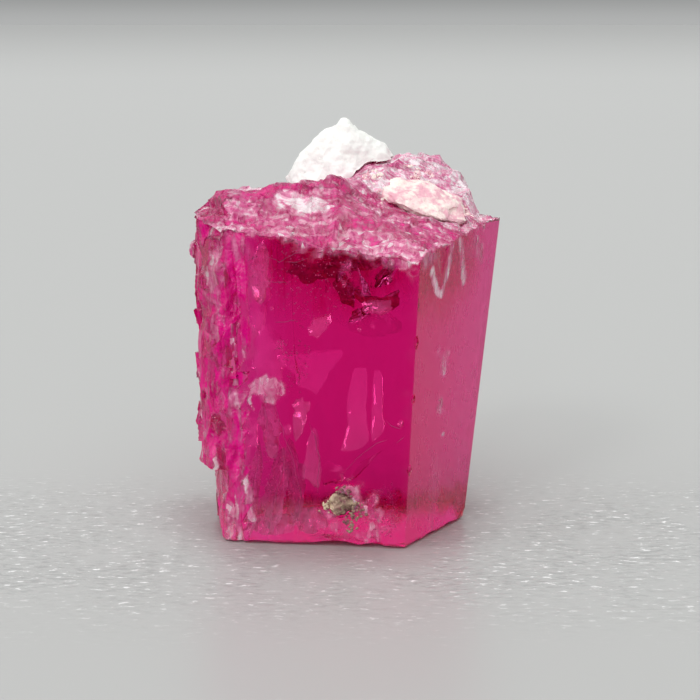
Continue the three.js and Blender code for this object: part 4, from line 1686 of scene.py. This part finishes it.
@dataclass
class Studio:
    """The floor, the light and the camera."""

    aim: Triple = (0.05, -2.8, 5.193)
    distance: float = 35.75
    elevation: float = 13.0
    sensor: float = 36.0
    lens: float = 73.54
    clip: Pair = (0.001, 10.0)
    floor: float = 8000.0
    floor_drop: float = 0.01
    # The black card, painted shade that only reflections see, in place of the camera and its shadow before
    # the specimen: how far before the specimen it starts and ends, its soft edge, width and height.
    flag: Pair = (4.8, 240.0)
    flag_edge: float = 1.6
    flag_width: float = 400.0
    flag_height: float = 0.05
    flag_colour: Triple = (0.01, 0.01, 0.01)
    # The dome: its light from the horizon up, how it dims in front, and what the camera sees behind.
    dome: Pair = (0.66, 0.9)
    dome_colour: Triple = (0.985, 1.0, 0.995)
    ahead: Ramp = Ramp(0.0, -0.6)
    dimmed: Ramp = Ramp(0.35, 0.75, 0.88, 0.0)
    backdrop: Ramp = Ramp(-0.003, 0.02, 0.445, 0.31)
    # Each light's name, turn, rise, spread and power.
    lights: tuple[tuple[str, float, float, float, float], ...] = (
        ("softbox", -112.0, 48.0, 100.0, 1.6),
        ("window", -128.0, 40.0, 12.0, 0.4),
        ("lamp", -104.0, 24.0, 7.0, 0.12),
    )

    def build(self) -> None:
        """Makes the floor, the light and the camera."""
        self._floor()
        self._flag()
        self._sky()
        self._camera()

    def _floor(self) -> None:
        """Lays a wide board under the specimen."""
        form = bmesh.new()
        bmesh.ops.create_grid(form, x_segments=1, y_segments=1, size=self.floor / 2)
        bmesh.ops.translate(form, vec=(0, 0, -self.floor_drop), verts=form.verts)
        board = object_of("floor", finish_mesh(form, "floor"))
        board.data.materials.append(FloorFinish().make())

    def _flag(self) -> None:
        """Lays a black card out of sight before the specimen, which only reflections show: painted shade in
        place of the camera and its shadow there.
        """
        form = bmesh.new()
        bmesh.ops.create_grid(form, x_segments=1, y_segments=1, size=0.5)
        bmesh.ops.scale(form, vec=(self.flag_width, self.flag[1] - self.flag[0], 1), verts=form.verts)
        bmesh.ops.translate(form, vec=(0, -sum(self.flag) / 2, self.flag_height), verts=form.verts)
        card = object_of("flag", finish_mesh(form, "flag"))
        material, wires, shader = new_material("black_card")
        shader.inputs["Base Color"].default_value = (*self.flag_colour, 1.0)
        shader.inputs["Specular IOR Level"].default_value = 0.0
        edge = Ramp(-self.flag[0] - self.flag_edge, -self.flag[0], 1.0, 0.0)
        shown = wires.ramp(wires.axis(wires.place(), "Y"), edge.in_metres())
        above = wires.rest(wires.add("ShaderNodeNewGeometry").outputs["Backfacing"])
        wires.join(wires.times(shown, above), shader.inputs["Alpha"])
        card.data.materials.append(material)
        for kind in ("camera", "diffuse", "transmission", "volume_scatter", "shadow"):
            setattr(card, "visible_" + kind, False)

    def _sky(self) -> None:
        """Surrounds the scene with a soft dome that is brightest overhead, and adds softboxes."""
        world = bpy.data.worlds.new("soft_dome")
        world.use_nodes = True
        bpy.context.scene.world = world
        wires = Wiring(world.node_tree)
        toward = wires.place("Generated")
        rise = wires.axis(toward, "Z")
        span = {"Value": rise, "To Min": self.dome[0], "To Max": self.dome[1]}
        dome = wires.add("ShaderNodeMapRange", span).outputs[0]
        dimmed = wires.times(wires.ramp(wires.axis(toward, "Y"), self.ahead), wires.ramp(rise, self.dimmed))
        lit = wires.times(dome, wires.rest(dimmed))
        seen = wires.add("ShaderNodeLightPath").outputs["Is Camera Ray"]
        shares = {0: seen, 2: lit, 3: wires.ramp(rise, self.backdrop)}
        level = wires.add("ShaderNodeMix", shares, data_type="FLOAT")
        background = world.node_tree.nodes["Background"]
        background.inputs["Color"].default_value = (*self.dome_colour, 1.0)
        wires.join(level.outputs[0], background.inputs["Strength"])
        for name, turn, rise, spread, power in self.lights:
            light = bpy.data.lights.new(name, "SUN")
            light.angle = math.radians(spread)
            light.energy = power
            lamp = bpy.data.objects.new(name, light)
            lamp.rotation_euler = (math.radians(90 - rise), 0, math.radians(turn + 90))
            bpy.context.scene.collection.objects.link(lamp)

    def _camera(self) -> None:
        """Puts the camera in front of the specimen, looking a little down on it."""
        camera = bpy.data.cameras.new("camera")
        camera.sensor_width = self.sensor
        camera.lens = self.lens
        camera.clip_start, camera.clip_end = self.clip
        holder = bpy.data.objects.new("camera", camera)
        tilt = math.radians(self.elevation)
        ahead = Vector((0, math.cos(tilt), -math.sin(tilt)))
        holder.location = (Vector(self.aim) - ahead * self.distance) * MM
        holder.rotation_euler = (math.pi / 2 - tilt, 0, 0)
        bpy.context.scene.collection.objects.link(holder)
        bpy.context.scene.camera = holder
        bpy.context.scene.view_settings.view_transform = "Standard"


# ------------------------------------------------------------------ the specimen


WHITE_ROCK = RockFinish("white_rock", (0.95, 0.96, 0.93), (0.93, 0.94, 0.9), (0.88, 0.87, 0.83), 0.05)
CREAM_ROCK = RockFinish("cream_rock", (0.97, 0.91, 0.82), (0.93, 0.72, 0.7), (0.8, 0.42, 0.5), 0.6)
TAN_ROCK = RockFinish(
    "tan_rock", (0.4, 0.3, 0.2), (0.3, 0.14, 0.13), (0.2, 0.05, 0.08), 0.5, 0.25,
    left=(0.75, 0.6, 0.42), left_to=(-0.5, -0.25),
)
# Where loose grains lie, and how far from each place.
CREAM_SPOTS = (
    ((1.35, -0.5, 9.06), 0.35), ((0.95, -0.95, 8.85), 0.3), ((2.13, -0.62, 8.93), 0.35),
    ((2.77, -0.73, 8.57), 0.4), ((0.6, 0.0, 9.1), 0.4), ((3.0, -0.5, 8.4), 0.35), ((1.9, 0.5, 9.4), 0.5),
)
TAN_SPOTS = (
    ((-0.5, -2.81, 1.1), 0.3), ((-0.1, -2.85, 1.45), 0.25),
    ((0.2, -2.88, 0.95), 0.3), ((0.05, -2.86, 0.6), 0.25),
)


def main() -> None:
    """Builds the specimen and its studio."""
    logging.basicConfig(level=logging.INFO, format="%(name)s: %(message)s")
    crystal = CrystalBody().build()
    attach(crystal, "root")
    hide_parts("red_beryl_crystal")
    veils = HealedFractures().build()
    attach(veils, "root")
    for lump in (
        MatrixLump("white_matrix_cap", "white_cap", "white_rock", WHITE_ROCK),
        MatrixLump("cream_matrix_crust", "cream_crust", "cream_rock", CREAM_ROCK, 0.05, 0.05, 4.0),
        MatrixLump("tan_matrix_crumb", "tan_crumb", "tan_rock", TAN_ROCK, 0.03, 0.16, 2.6),
    ):
        lump.build()
    for grains in (
        LooseGrains("cream_grains", "cream_rock", CREAM_ROCK, CREAM_SPOTS),
        LooseGrains("tan_grains", "tan_rock", TAN_ROCK, TAN_SPOTS, size=0.04, cover=170.0, seed=9),
    ):
        grains.build(crystal)
    Studio().build()


if __name__ == "__main__":
    main()
